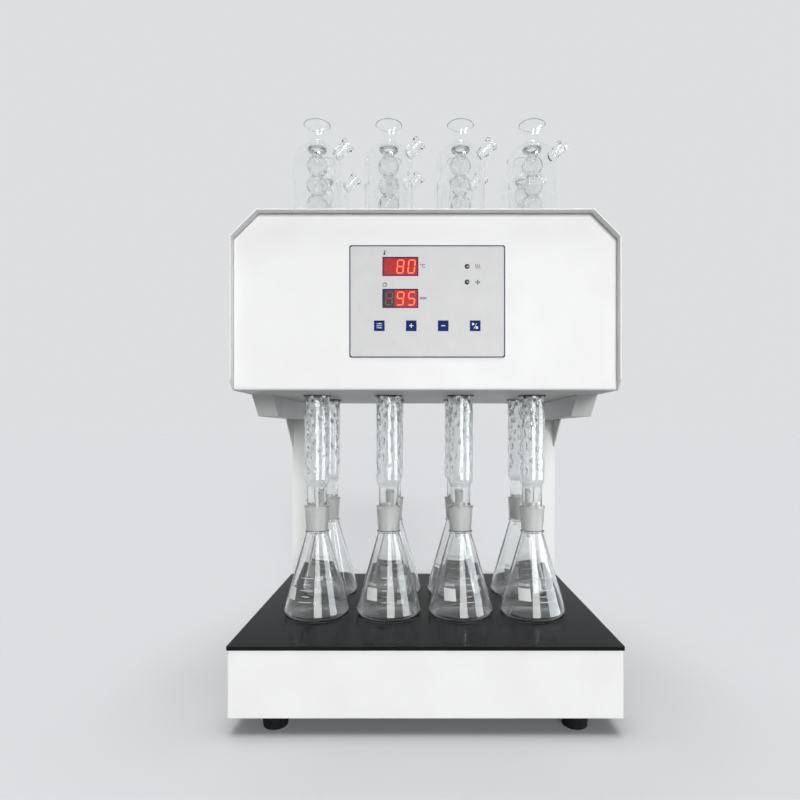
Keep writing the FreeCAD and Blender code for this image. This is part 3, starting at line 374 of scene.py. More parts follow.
# %% [markdown]
# ## Mesh helpers
# A piece is built in a bmesh and then handed to `piece`, which names it, makes it ride on its
# body and gives it its slot's finish where no other finish is given. Most of this instrument is
# either turned glass or folded sheet, so two helpers do most of the work: `lathe` turns an
# outline about an upright axis, and `softened` takes a node's own mesh and rounds its edges as
# paint and folding do.

# %% Define the mesh helpers
crease_angle = math.radians(35)
flat_angle = math.radians(1)
hard_angle = math.radians(28)
near_share = math.cos(math.radians(50))
weld_gap = 0.002 * MM
edge_steps = 2


def piece(name, bm, body, slot, *materials):
    """A named object made from a bmesh, riding on a body, in its slot's finish or in others."""
    mesh = bpy.data.meshes.new(name)
    bm.normal_update()
    bm.to_mesh(mesh)
    bm.free()
    for material in materials or (FINISHES[slot],):
        mesh.materials.append(material)
    mesh.shade_smooth()
    mesh.set_sharp_from_angle(angle=crease_angle)
    made = bpy.data.objects.new(name, mesh)
    scene.collection.objects.link(made)
    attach(made, body)
    return made


def arc(centre_r, centre_z, radius, start, stop, steps):
    """Points of an arc as (radius, height), with angles in degrees."""
    angles = [math.radians(start + (stop - start) * n / steps) for n in range(steps + 1)]
    return [(centre_r + radius * math.cos(a), centre_z + radius * math.sin(a)) for a in angles]


def lathe(bm, outline, segments, place=(0, 0), material=None):
    """Turns a closed outline of (radius, height) about an upright axis. The outline runs with
    the solid on its left, so that the faces look outwards."""
    rings = []
    for radius, height in outline:
        count = segments if radius > 0 else 1
        ring = []
        for n in range(count):
            angle = FULL_TURN * n / segments
            across = (place[0] + radius * math.cos(angle), place[1] + radius * math.sin(angle))
            ring.append(bm.verts.new((*across, height)))
        rings.append(ring)
    for index, (a, b) in enumerate(zip(rings, rings[1:] + rings[:1])):
        if len(a) == 1 and len(b) == 1:
            continue
        for n in range(segments):
            m = (n + 1) % segments
            corners = [a[n % len(a)], a[m % len(a)], b[m % len(b)], b[n % len(b)]]
            kept = [v for i, v in enumerate(corners) if v not in corners[:i]]
            face = bm.faces.new(kept)
            if material:
                face.material_index = material(outline[index], outline[(index + 1) % len(outline)])
    return rings


def flatten_shading(mesh):
    """Lets large faces lead the shading round each corner, so that flat sheet looks flat."""
    around = [[] for _ in mesh.vertices]
    for face in mesh.polygons:
        for corner in face.vertices:
            around[corner].append(face)
    normals = []
    for face in mesh.polygons:
        for corner in face.vertices:
            near = [other for other in around[corner] if other.normal.dot(face.normal) > near_share]
            normals.append(sum((other.normal * other.area for other in near), Vector()).normalized())
    mesh.normals_split_custom_set(normals)


def softened(node, radius):
    """A copy of a node's mesh with its hard edges rounded, replacing the node."""
    bm = bmesh.new()
    bm.from_mesh(nodes[node].data)
    bmesh.ops.remove_doubles(bm, verts=bm.verts, dist=weld_gap)
    bmesh.ops.dissolve_limit(
        bm, angle_limit=flat_angle, verts=bm.verts, edges=bm.edges, use_dissolve_boundaries=False
    )
    hard = [e for e in bm.edges if e.is_manifold and e.calc_face_angle() > hard_angle]
    bmesh.ops.bevel(
        bm, geom=hard, offset=radius, offset_type="OFFSET", segments=edge_steps, profile=0.5,
        affect="EDGES", clamp_overlap=True,
    )
    slot = {e["node"]: e["material_slot"] for e in frame["record"]["subparts"]}[node]
    made = piece(node + "_sheet", bm, "stand", slot)
    flatten_shading(made.data)
    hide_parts(node)
    return made


print("mesh helpers ready")

# %% [markdown]
# ## Folded sheet with rounded edges
# Bent and painted sheet never has a razor edge. The cabinet's panels, columns, arms and
# gussets are copied from their nodes and every hard edge gets a radius of a few tenths of a
# millimetre, so that each edge catches a thin line of light.

# %% Round the sheet metal
edge_radii_mm = {
    "base_shell": 0.7, "base_bottom": 0.3, "head_hood": 0.4, "head_chassis": 0.3, "head_back_panel": 0.3,
    "column_left": 0.9, "column_right": 0.9, "arm_left": 0.9, "arm_right": 0.9,
    "gusset_left": 0.4, "gusset_right": 0.4, "power_inlet": 0.5, "rocker_frame": 0.5,
}
for node, radius in edge_radii_mm.items():
    made = softened(node, radius * MM)
    # The bottom cover takes the near-black finish, painted shade that darkens the floor under the base.
    if node == "base_bottom":
        made.data.materials[0] = underside_painted_shade
    print(made.name, len(made.data.polygons), "faces")

# %% [markdown]
# ## Conical flasks
# A 250 ml flask is blown glass about 2 mm thick, with a rounded heel, a pushed-up base, a
# bead under the neck, and a flared neck whose inside is ground for the joint. An outline
# turned about the axis gives all of it. Each flask is a closed solid, so light bends in it
# as in real glass.

# %% Define the flask
flask_steps = 96
flask_wall = 1.8 * MM
heel_radius = 7.0 * MM
punt_rise = 3.2 * MM
punt_edge = 0.5 * MM
punt_inset = 2 * MM
punt_steps = 12
cone_height = 99.5 * MM
neck_radius = 12.8 * MM
neck_mouth_radius = 14.8 * MM
rim_radius = 15.6 * MM
rim_height = 2.5 * MM
bead_radius = 14.4 * MM
bead_height = 3.0 * MM
bead_margin = 1 * MM
bead_angle = 80
rim_angle = -60
hair = 0.1 * MM
shoulder_out = 1.2 * MM
shoulder_drop = 4 * MM
neck_wall = 2 * MM
neck_drop = 3 * MM
mouth_chamfer = 0.4 * MM
glass_margin = 1 * MM
joint_length = 29 * MM
joint_mouth = 12.0 * MM
joint_run = 20
joint_small = joint_mouth - joint_length / joint_run
flask_low, flask_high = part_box("flask_front_1")
flask_radius = (flask_high.x - flask_low.x) / 2
flask_base = flask_low.z
foot_radius = flask_radius - heel_radius
cone_run = foot_radius - neck_radius
cone_rise = cone_height - heel_radius
lean = math.atan2(cone_run, cone_rise) + math.asin(heel_radius / math.hypot(cone_run, cone_rise))


def punt(above):
    """The pushed-up base, from its middle outwards, at a height above the lower surface."""
    reach = foot_radius - punt_inset
    shares = [n / punt_steps for n in range(punt_steps + 1)]
    low = flask_base + punt_edge + above
    return [(reach * share, low + punt_rise * (1 - share**2) ** 2) for share in shares]


def flask_outline():
    """The wall of the flask, from the middle of its base outwards, up and back down inside."""
    cone_top = flask_base + cone_height
    foot = foot_radius
    heel_z = flask_base + heel_radius
    side = math.degrees(lean)
    tip = rim_height / 2
    points = punt(0) + arc(foot, heel_z, heel_radius, -90, side, 12)
    points += [(neck_radius + shoulder_out, cone_top - shoulder_drop), (neck_radius, cone_top)]
    bead_z, bead_reach = cone_top + bead_height / 2, bead_radius - neck_radius
    points += arc(neck_radius, bead_z, bead_reach, -bead_angle, bead_angle, 6)
    points += [(neck_radius + hair, cone_top + bead_height + bead_margin)]
    points += [(neck_mouth_radius, neck_top - rim_height)]
    points += arc(rim_radius - tip, neck_top - tip, tip, rim_angle, 90, 6)
    points += [(joint_mouth + mouth_chamfer, neck_top), (joint_mouth, neck_top - mouth_chamfer)]
    points += [(joint_small, neck_top - joint_length), (neck_radius - neck_wall, cone_top - neck_drop)]
    points += arc(foot, heel_z, heel_radius - flask_wall, side, -90, 10)
    return points + punt(flask_wall)[::-1]


FLASK_GLASSES = (clear_glass, ground_glass, base_shade_glass)
CLEAR, GROUND, BASE = range(3)


def flask_glass_of(a, b):
    """Ground glass covers the neck inside and above the bead, and the base has its own glass."""
    (near, far), (low, high) = sorted((a[0], b[0])), sorted((a[1], b[1]))
    if far < foot_radius - glass_margin and high < flask_base + heel_radius:
        return BASE
    inside = neck_top - joint_length - glass_margin < low and far < joint_mouth + hair
    outside = low > flask_base + cone_height + bead_height and high < neck_top - rim_height / 2
    return GROUND if inside or outside and near > neck_radius else CLEAR


for tag, place in places.items():
    bm = bmesh.new()
    lathe(bm, flask_outline(), flask_steps, place, material=flask_glass_of)
    made = piece("flask_glass_" + tag, bm, "flask_" + tag, "clear_glass", *FLASK_GLASSES)
    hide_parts("flask_" + tag)
print("flask faces:", len(made.data.polygons))

# %% [markdown]
# ## Graduations and label patch
# White enamel lines and numbers mark the volume on each flask, and a small white patch takes a
# pencil note. They lie on the cone, so flat shapes are wrapped round it: sideways becomes an
# angle, and up becomes the way along the slope.

# %% Fire the enamel on the flasks
enamel_lift = 0.06 * MM
mark_width = 0.65 * MM
long_mark = 8 * MM
short_mark = 4.5 * MM
mark_steps = 8
number_height = 4.4 * MM
number_across = 14 * MM
number_drop = 2.1 * MM
label_box = [length * MM for length in (-29, -14, 25, 38.5)]
label_steps = 10
title_height = 3.2 * MM
title_across = -21.5 * MM
title_up = 41 * MM
capital_share = 0.7
bold_share = 0.025


def on_cone(place, turn, across, up):
    """The point of the flask's side at an arc length across and a height up."""
    radius = neck_radius + (cone_height - up) * math.tan(lean) + enamel_lift
    angle = turn + across / radius
    x, y = place[0] + radius * math.cos(angle), place[1] + radius * math.sin(angle)
    return Vector((x, y, flask_base + up))


def patch(bm, place, turn, x0, x1, z0, z1, steps):
    """A thin strip or patch of enamel that follows the cone."""
    columns = []
    for n in range(steps + 1):
        across = x0 + (x1 - x0) * n / steps
        columns.append([bm.verts.new(on_cone(place, turn, across, z)) for z in (z0, z1)])
    for a, b in zip(columns, columns[1:]):
        bm.faces.new((a[0], b[0], b[1], a[1]))


def baked_mesh(holder):
    """The mesh that an object has once its curves and modifiers are worked out."""
    return bpy.data.meshes.new_from_object(holder.evaluated_get(bpy.context.evaluated_depsgraph_get()))


def letters(text, height):
    """The flat mesh of a short text, standing in the X-Z plane, centred on zero."""
    curve = bpy.data.curves.new("letters", "FONT")
    curve.body = text
    curve.size = height / capital_share
    curve.align_x = "CENTER"
    curve.resolution_u = 3
    curve.offset = height * bold_share
    holder = bpy.data.objects.new("letters", curve)
    scene.collection.objects.link(holder)
    bpy.context.view_layer.update()
    mesh = baked_mesh(holder)
    bpy.data.objects.remove(holder)
    bpy.data.curves.remove(curve)
    return mesh


def placed_letters(bm, text, height, spot):
    """Adds short text, each of whose points goes where `spot` says."""
    flat = letters(text, height)
    start = len(bm.verts)
    bm.from_mesh(flat)
    bm.verts.ensure_lookup_table()
    for vertex in bm.verts[start:]:
        vertex.co = spot(vertex.co.x, vertex.co.y)
    bpy.data.meshes.remove(flat)


def wrapped_letters(bm, text, height, place, turn, across, up):
    """Numbers that follow the cone."""
    placed_letters(bm, text, height, lambda x, z: on_cone(place, turn, across + x, up + z))


mark_heights_mm = {100: 24, 125: 30, 150: 36.5, 175: 43, 200: 50}
numbered_step = 50
mark_headings = {
    "front_1": -104, "front_2": -87, "front_3": -79, "front_4": -79,
    "rear_1": -96, "rear_2": -70, "rear_3": -110, "rear_4": -84,
}
for tag, place in places.items():
    bm = bmesh.new()
    turn = math.radians(mark_headings[tag])
    for volume, level in mark_heights_mm.items():
        up = level * MM
        numbered = volume % numbered_step == 0
        reach = long_mark if numbered else short_mark
        patch(bm, place, turn, -reach, reach, up - mark_width / 2, up + mark_width / 2, mark_steps)
        if numbered:
            wrapped_letters(bm, str(volume), number_height, place, turn, number_across, up - number_drop)
    patch(bm, place, turn, *label_box, label_steps)
    wrapped_letters(bm, "250 ml", title_height, place, turn, title_across, title_up)
    made = piece("flask_marks_" + tag, bm, "flask_" + tag, "clear_glass", enamel)
print("marks per flask:", len(mark_heights_mm), "faces:", len(made.data.polygons))

# %% [markdown]
# ## Condensers
# The condenser is the piece that takes most skill. From the top it has a flared mouth, a domed
# water jacket round a chain of four bulbs, a side port on the shoulder, and then a wide tube
# whose wall is pushed in to sharp points, a ground cone and a slanted drip tip. Two outlines
# turned together give the body: the outside with the whole bore, and the closed jacket space.

# %% Define the condenser body
glass_steps = 80
tube_radius = 15 * MM
tube_wall = 1.8 * MM
jacket_radius = 29.5 * MM
jacket_wall = 2 * MM
jacket_foot = 6 * MM
dome_radius = 21 * MM
bulb_radius = 12.7 * MM
bulb_wall = 1.5 * MM
bulb_pitch = 23.5 * MM
bulb_count = 4
first_bulb = 15 * MM
throat = 6.5 * MM
mouth_radius = 16.2 * MM
mouth_height = 14.1 * MM
mouth_neck = 13.2 * MM
mouth_wall = 1.5 * MM
tip_radius = 6.5 * MM
tip_wall = 1.5 * MM
tip_bevel = 6 * MM
taper_start = 22.5 * MM
taper_length = 8 * MM
ring_step = 1.3 * MM
joint_gap = 0.15 * MM
seal_r = 9.4 * MM
seal_bead = 1.5 * MM
seal_drop = 3.6 * MM
seal_angle = 82
seal_arc = (60, -150)
dome_angle = 84
dome_top = mouth_z - mouth_height - mouth_neck
dome_z = dome_top - dome_radius
neck_r = jacket_radius - dome_radius
tip_round = 0.4 * MM
tip_shoulder = 3 * MM
joint_chamfer = 0.6 * MM
joint_over = 0.5 * MM
joint_end = 2 * MM
taper_first = (0.8 * MM, 2.5 * MM)
taper_second = (0.5 * MM, 6 * MM)
seal_fillet = (0.4 * MM, 0.6 * MM)
seal_fillet_top = 2.2 * MM
mouth_round = 0.7 * MM
mouth_steps = 12
mouth_straight = 0.65
mouth_curl = 0.35
bore_step = 2 * MM
spigot_drop = 10 * MM
hidden_step = 30 * MM
hidden_rows = 4
shown_above = 20 * MM
visible_tube_top = head_low.z + shown_above


def chain(radius, waist):
    """Outline of the bulb chain, from the jacket's dome down to its foot."""
    half = math.degrees(math.acos(waist / radius))
    points = []
    for n in range(bulb_count):
        points += arc(0, seat_z + first_bulb + n * bulb_pitch, radius, -half, half, 14)
    return points[::-1]


def flare(inner):
    """The mouth, from its neck up to the rim."""
    neck, rim = neck_r - inner, mouth_radius - inner
    low, rise = mouth_z - mouth_height, mouth_height - mouth_round
    shares = [n / mouth_steps for n in range(mouth_steps + 1)]
    widths = [mouth_straight * share + mouth_curl * share**3 for share in shares]
    return [(neck + (rim - neck) * w, low + rise * share) for w, share in zip(widths, shares)]


def tube_rows(radius):
    """Closely spaced rows up the part of the tube that shows."""
    low = neck_top + taper_start + taper_length
    count = round((visible_tube_top - low) / ring_step)
    return [(radius, low + (visible_tube_top - low) * n / count) for n in range(count + 1)]


def condenser_outlines():
    """The outline of the glass with its bore, and the outline of the water space."""
    joint_low = neck_top - joint_length
    top_r = joint_mouth - joint_gap
    low_r = top_r - joint_length / joint_run
    taper = neck_top + taper_start
    hidden_tube = [visible_tube_top + (n + 1) * hidden_step for n in range(hidden_rows)]
    wall = tube_radius - tube_wall
    tip_bore = tip_radius - tip_wall
    outer = [(tip_bore, tip_z), (tip_radius - tip_round, tip_z), (tip_radius, tip_z + tip_round)]
    outer += [(tip_radius, joint_low - tip_shoulder), (low_r - joint_chamfer, joint_low - tip_round)]
    outer += [(low_r, joint_low), (top_r, neck_top + joint_over), (top_r - hair, neck_top + joint_end)]
    outer += [(top_r, taper), (top_r + taper_first[0], taper + taper_first[1])]
    outer += [(tube_radius - taper_second[0], taper + taper_second[1])]
    outer += tube_rows(tube_radius) + [(tube_radius, z) for z in hidden_tube] + [(tube_radius, seat_z)]
    outer += arc(jacket_radius - jacket_foot, seat_z + jacket_foot, jacket_foot, -90, 0, 8)
    outer += arc(neck_r, dome_z, dome_radius, 0, dome_angle, 18)
    outer += [(neck_r + seal_fillet[0], dome_top + seal_fillet[1]), (neck_r, dome_top + seal_fillet_top)]
    outer += flare(0) + arc(mouth_radius - mouth_wall / 2, mouth_z - mouth_round, mouth_round, 0, 180, 6)
    outer += flare(mouth_wall)[::-1] + [(neck_r - mouth_wall, dome_top - jacket_wall)]
    last_bulb = seat_z + first_bulb + (bulb_count - 1) * bulb_pitch
    outer += [(throat - bulb_wall, last_bulb + bulb_radius)]
    outer += chain(bulb_radius - bulb_wall, throat - bulb_wall)
    outer += [(throat - bulb_wall, seat_z), (wall, seat_z - spigot_drop)]
    outer += [(wall, z) for z in hidden_tube[::-1]] + tube_rows(wall)[::-1]
    outer += [(top_r - tube_wall, taper), (low_r - tube_wall, joint_low + bore_step)]
    outer += [(tip_bore, joint_low - bore_step)]
    foot_r = jacket_radius - jacket_foot
    hollow = [(throat, seat_z + jacket_wall)]
    hollow += arc(foot_r, seat_z + jacket_foot, jacket_foot - jacket_wall, -90, 0, 6)
    hollow += arc(neck_r, dome_z, dome_radius - jacket_wall, 0, seal_angle, 16)
    hollow += arc(seal_r, dome_top - seal_drop, seal_bead, *seal_arc, 8)
    hollow += [(throat, last_bulb + bulb_radius)]
    hollow += chain(bulb_radius, throat)
    return outer, hollow[::-1]


outer, hollow = condenser_outlines()
print("outline points:", len(outer), "and", len(hollow))

# %% [markdown]
# ## The side port
# Water is filled into the jacket through a short port that leaves the shoulder at 45 degrees
# and ends in a thicker rim. A boolean joins it to the dome and drills it through, once, and
# the finished mesh is used for all eight condensers.

# %% Join the port to the jacket
port_radius = 7.0 * MM
port_rim_radius = 8.5 * MM
port_rim = 4 * MM
port_bore = 4.5 * MM
port_length = 19 * MM
port_rise = 12.5 * MM
port_tilt = math.radians(45)
port_steps = 40
stub_root = 4.5 * MM
stub_inset = 0.8 * MM
stub_fillet = (1 * MM, 3 * MM)
rim_slope = 1.5 * MM
rim_round = 1 * MM
bore_root = 7 * MM
bore_over = 1 * MM
port_reach = neck_r + math.sqrt(dome_radius**2 - port_rise**2)


def helper_object(name, bm):
    """An object that only takes part in a boolean."""
    mesh = bpy.data.meshes.new(name)
    bm.to_mesh(mesh)
    bm.free()
    helper = bpy.data.objects.new(name, mesh)
    scene.collection.objects.link(helper)
    return helper


def port_tool(name, outline):
    """A turned shape that stands on the port's axis, as an object for a boolean."""
    bm = bmesh.new()
    lathe(bm, outline, port_steps)
    aim = Matrix.Rotation(math.pi / 2 - port_tilt, 4, "Y")
    bm.transform(Matrix.Translation((port_reach, 0, dome_z + port_rise)) @ aim)
    return helper_object(name, bm)


def condenser_mesh():
    """One condenser at the origin, with its port, before its points are pushed in."""
    bm = bmesh.new()
    lathe(bm, outer, glass_steps)
    lathe(bm, hollow, glass_steps)
    blank = helper_object("condenser_blank", bm)
    neck = port_length - port_rim
    waist, bore_top = port_radius - stub_inset, port_length + bore_over
    stub = [(0, -stub_root), (waist, -stub_root), (waist, stub_fillet[0])]
    stub += [(port_radius, stub_fillet[1]), (port_radius, neck - rim_slope), (port_rim_radius, neck)]
    stub += arc(port_rim_radius - rim_round, port_length - rim_round, rim_round, 0, 90, 4)
    stub += [(0, port_length)]
    bore = [(0, -bore_root), (port_bore, -bore_root), (port_bore, bore_top), (0, bore_top)]
    tools = [("UNION", port_tool("stub", stub)), ("DIFFERENCE", port_tool("bore", bore))]
    for operation, tool in tools:
        cut = blank.modifiers.new(operation.lower(), "BOOLEAN")
        cut.operation = operation
        cut.object = tool
        cut.solver = "EXACT"
    bpy.context.view_layer.update()
    done = baked_mesh(blank)
    for helper in [blank] + [tool for _, tool in tools]:
        bpy.data.objects.remove(helper)
    return done


blank_mesh = condenser_mesh()
print("condenser faces:", len(blank_mesh.polygons))

# %% [markdown]
# ## Points in the reflux tube
# A glassblower heats a spot and pushes it inwards until it is a long point that slopes down.
# No two tubes are alike. Here each point is a steep bell that moves the inner wall a long way
# and the outer wall a little, with seeded places, so every tube differs and every run agrees.

# %% Shape the tubes
point_rows = 13
points_per_row = 5
point_length = 3.6 * MM
point_spread = 1.1 * MM
point_stretch = 1.9
point_crowding = 0.75
angle_wander = 0.25
row_wander = 0.3
bell_reach = 4
dent_depth = 0.35 * MM
point_droop = 2 * MM
points_start = 12 * MM
points_margin = 16 * MM
tube_band = (12 * MM, 16 * MM)
ripple_inner = 0.10 * MM
ripple_outer = 0.04 * MM
core_radius = 3.5 * MM
wave_count = 4
wave_lobes = (2, 5)
wave_rates = (90, 260)
first_seed = 100
tip_zone = 1 * MM
lip_zone = 0.75 * MM
tube_low = neck_top + taper_start + taper_length


def tube_points(draw):
    """Places of the points, as angle and height, in loose rows."""
    span = visible_tube_top - tube_low - points_margin
    made = []
    for row in range(point_rows):
        for n in range(points_per_row):
            angle = FULL_TURN * (n + 0.5 * (row % 2)) / points_per_row
            angle += draw.uniform(-angle_wander, angle_wander)
            share = max(0, row + draw.uniform(-row_wander, row_wander)) / (point_rows - 1)
            made.append((angle, tube_low + points_start + span * share**point_crowding))
    return made


def push_points(bm, spots, draw):
    """Pushes the tube's walls in at each spot."""
    waves = [
        (draw.uniform(0, FULL_TURN), draw.randint(*wave_lobes), draw.uniform(*wave_rates))
        for _ in range(wave_count)
    ]
    for vertex in bm.verts:
        x, y, z = vertex.co
        radius = math.hypot(x, y)
        if not (tube_low < z < visible_tube_top and tube_band[0] < radius < tube_band[1]):
            continue
        angle = math.atan2(y, x)
        inner = radius < tube_radius - tube_wall / 2
        push = drop = 0.0
        for spot_angle, spot_z in spots:
            turn = (angle - spot_angle + math.pi) % FULL_TURN - math.pi
            near = (turn * tube_radius) ** 2 + ((z - spot_z) / point_stretch) ** 2
            if near < (bell_reach * point_spread) ** 2:
                bell = math.exp(-near / (2 * point_spread**2))
                push += (point_length if inner else dent_depth) * bell
                drop += (point_droop if inner else 0) * bell
        ripple = sum(math.sin(start + lobes * angle + rate * z) for start, lobes, rate in waves)
        push += (ripple_inner if inner else ripple_outer) * ripple
        push = min(push, radius - core_radius)
        vertex.co = (x * (radius - push) / radius, y * (radius - push) / radius, z - drop)


def slant_tip(bm):
    """Slants the end of the drip tip."""
    for vertex in bm.verts:
        if vertex.co.z < tip_z + tip_zone:
            vertex.co.z += tip_bevel * (vertex.co.x / tip_radius + 1) / 2


CONDENSER_GLASSES = (clear_glass, ground_glass, misted_glass, dewy_glass, painted_shade_glass)
CLEAR, GROUND, MISTED, DEWY, SHADE_TINT = range(5)


def glass_of(face):
    """Which glass a face has: ground, misted or dewy inside, a dark tint of painted shade at a rim or seal, or
    clear.
    """
    middle = face.calc_center_median()
    reach = math.hypot(middle.x, middle.y)
    inwards = middle.x * face.normal.x + middle.y * face.normal.y < 0
    at_joint = neck_top - joint_length < middle.z < neck_top + glass_margin
    if at_joint and reach > joint_small - glass_margin:
        return GROUND
    if neck_top + taper_start < middle.z < seat_z and reach < tube_radius - tube_wall / 2:
        return MISTED
    if seat_z < middle.z < dome_top - seal_drop and reach < bulb_radius and inwards:
        return DEWY
    # Faces at the seal and at the mouth's rim take the dark tint, which is painted shade.
    at_seal = dome_top - seal_drop - seal_bead < middle.z < dome_top + glass_margin and not inwards
    at_seal = at_seal and reach < seal_r + 2 * seal_bead
    return SHADE_TINT if at_seal or middle.z > mouth_z - lip_zone else CLEAR


port_turns = {"1": 0, "2": -8, "3": -4, "4": 6}
for index, (tag, place) in enumerate(places.items()):
    draw = random.Random(first_seed + index)
    bm = bmesh.new()
    bm.from_mesh(blank_mesh)
    slant_tip(bm)
    push_points(bm, tube_points(draw), draw)
    bm.normal_update()
    for face in bm.faces:
        face.material_index = glass_of(face)
    turn = Matrix.Rotation(math.radians(port_turns[tag[-1]]), 4, "Z")
    bm.transform(Matrix.Translation((*place, 0)) @ turn)
    made = piece("condenser_glass_" + tag, bm, "condenser_" + tag, "clear_glass", *CONDENSER_GLASSES)
    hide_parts("condenser_" + tag)
bpy.data.meshes.remove(blank_mesh)
print("condensers:", len(places), "faces each:", len(made.data.polygons))

# %% [markdown]
# ## Tube guides
# Where a condenser leaves the head, a soft dark ring closes the gap round its tube. It is
# thinner and less even than its node: the lip is turned, and then moved in and out a little.

# %% Turn the guides
guide_low, guide_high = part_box("tube_guides")
guide_bore = 15.4 * MM
guide_spigot = 16.2 * MM
guide_lip = 16.5 * MM
guide_lip_height = 0.9 * MM
guide_waver = 0.35 * MM
guide_steps = 60
guide_lobes = (2, 5, 9)
guide_seed = 7
bm = bmesh.new()
draw = random.Random(guide_seed)
for place in places.values():
    low, lip_z, high = guide_low.z, guide_low.z + guide_lip_height, guide_high.z
    ring = [(guide_bore, low), (guide_lip - guide_waver, low), (guide_lip, low + guide_waver)]
    ring += [(guide_lip, lip_z), (guide_spigot, lip_z), (guide_spigot, high), (guide_bore, high)]
    waves = [(lobes, draw.uniform(0, FULL_TURN)) for lobes in guide_lobes]
    for row in lathe(bm, ring, guide_steps, place)[1:4]:
        for vertex in row:
            x, y = vertex.co.x - place[0], vertex.co.y - place[1]
            waver = sum(math.sin(lobes * math.atan2(y, x) + start) for lobes, start in waves) / 2
            vertex.co += Vector((x, y, 0)).normalized() * guide_waver * waver
made = piece("guide_rings", bm, "stand", "dark_rubber")
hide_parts("tube_guides")
print("guide faces:", len(made.data.polygons))

# %% [markdown]
# ## Rubber feet
# The feet are moulded: a tapered body, a rounded lower rim and a screw pocket from below. One
# outline is turned four times into a single piece, as the node is.

# %% Turn the feet
feet_low, feet_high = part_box("rubber_feet")
foot_steps = 48
foot_low_radius = 13 * MM
foot_top_radius = 14.5 * MM
foot_round = 1.6 * MM
pocket_radius = 6 * MM
pocket_depth = 9 * MM
screw_hole = 2.7 * MM
foot_chamfer = 0.6 * MM
foot_angle = -80
top, pocket_top = feet_high.z, floor_z + pocket_depth
feet_x = feet_high.x - foot_top_radius
feet_y = (feet_low.y + foot_top_radius, feet_high.y - foot_top_radius)
bm = bmesh.new()
for x in (-feet_x, feet_x):
    for y in feet_y:
        foot = [(pocket_radius, floor_z), (foot_low_radius - foot_round, floor_z)]
        foot += arc(foot_low_radius - foot_round, floor_z + foot_round, foot_round, foot_angle, 0, 5)
        foot += [(foot_top_radius, top - foot_chamfer), (foot_top_radius - foot_chamfer, top)]
        foot += [(screw_hole, top), (screw_hole, pocket_top), (pocket_radius, pocket_top)]
        lathe(bm, foot, foot_steps, (x, y))
made = piece("feet_moulded", bm, "stand", "black_rubber")
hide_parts("rubber_feet")
print("feet faces:", len(made.data.polygons))

# %% [markdown]
# ## Flat print on the panel
# The film carries a navy border line, function signs and unit signs. All print is flat, so a
# few helpers lay lines, discs, rings and polygons in the X-Z plane just in front of the film.
# A sign is a short table of such shapes, in millimetres from its own centre. Only plain signs
# and numbers are used.

# %% Define the print helpers
print_lift = 0.04 * MM
over_lift = 0.005 * MM
circle_steps = {"disc": 24, "dot": 12, "ring": 32}
corner_steps = 6


def flat_shape(bm, points, y, material=0):
    """A flat polygon facing the front. Points are (x, z) in order."""
    verts = [bm.verts.new((x, y, z)) for x, z in points]
    face = bm.faces.new(verts)
    face.normal_update()
    if face.normal.y > 0:
        face.normal_flip()
    face.material_index = material


def flat_band(bm, outside, inside, y, material=0):
    """A closed band between two rounds of points."""
    for n in range(len(outside)):
        m = (n + 1) % len(outside)
        flat_shape(bm, [outside[n], outside[m], inside[m], inside[n]], y, material)


def flat_line(bm, points, width, y):
    """A bent line made of straight bars."""
    for start, stop in zip(points, points[1:]):
        a, b = Vector(start), Vector(stop)
        side = Vector((a.y - b.y, b.x - a.x)).normalized() * width / 2
        flat_shape(bm, [a + side, b + side, b - side, a - side], y)


def circle(centre, radius, steps):
    """The corners of a circle."""
    angles = [FULL_TURN * n / steps for n in range(steps)]
    return [(centre[0] + radius * math.cos(a), centre[1] + radius * math.sin(a)) for a in angles]


def rounded_corners(x0, x1, z0, z1, radius):
    """The corners of a rounded rectangle, as one round of points."""
    points = []
    for cx, cz, start in ((x1, z1, 0), (x0, z1, 90), (x0, z0, 180), (x1, z0, 270)):
        x = cx - math.copysign(radius, cx - (x0 + x1) / 2)
        z = cz - math.copysign(radius, cz - (z0 + z1) / 2)
        points += arc(x, z, radius, start, start + 90, corner_steps)
    return points


def draw_sign(bm, rows, centre, y):
    """Lays a sign from its rows of (kind, points, size). A ring's size is its radius and its line."""
    for kind, points, size in rows:
        spots = [(centre[0] + x * MM, centre[1] + z * MM) for x, z in points]
        if kind == "shape":
            flat_shape(bm, spots, y)
        elif kind == "line":
            flat_line(bm, spots, size * MM, y)
        elif kind == "line_over":
            flat_line(bm, spots, size * MM, y - over_lift)
        elif kind == "ring":
            radius, half = size[0] * MM, size[1] * MM / 2
            rounds = [circle(spots[0], r, circle_steps[kind]) for r in (radius + half, radius - half)]
            flat_band(bm, *rounds, y)
        else:
            flat_shape(bm, circle(spots[0], size * MM, circle_steps[kind]), y)


print("print helpers ready")

# %% [markdown]
# ## Border line and signs
# The navy line runs round the edge of the film. A thermometer and a clock name the two
# displays, heat waves and a fan name the two lamps, and the units stand beside the numbers.
# The rest of the printed area is left bare.

# %% Print the film
film_y = film_low.y - print_lift
display_low, display_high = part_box("digit_displays")
lamp_low, lamp_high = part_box("indicator_lamps")
display_height = 20 * MM
display_rows = (display_high.z - display_height / 2, display_low.z + display_height / 2)
lamp_half = 2.9 * MM
lamp_x = (lamp_low.x + lamp_high.x) / 2
lamp_rows = (lamp_high.z - lamp_half, lamp_low.z + lamp_half)
line_inset = 0.5 * MM
line_width = 1.1 * MM
corner_radius = 2.5 * MM
sign_inset = 2 * MM
sign_rise = 4.6 * MM
unit_drop = 1 * MM
UNITS = (("°C", 3.6 * MM, 4.6 * MM), ("min", 3.4 * MM, 5.4 * MM))
THERMOMETER = [("disc", [(0, -1.4)], 1.1), ("line", [(0, -1.4), (0, 2.4)], 0.9)]
THERMOMETER += [("line", [(1.1, z), (2.2, z)], 0.4) for z in (0.2, 1.2, 2.2)]
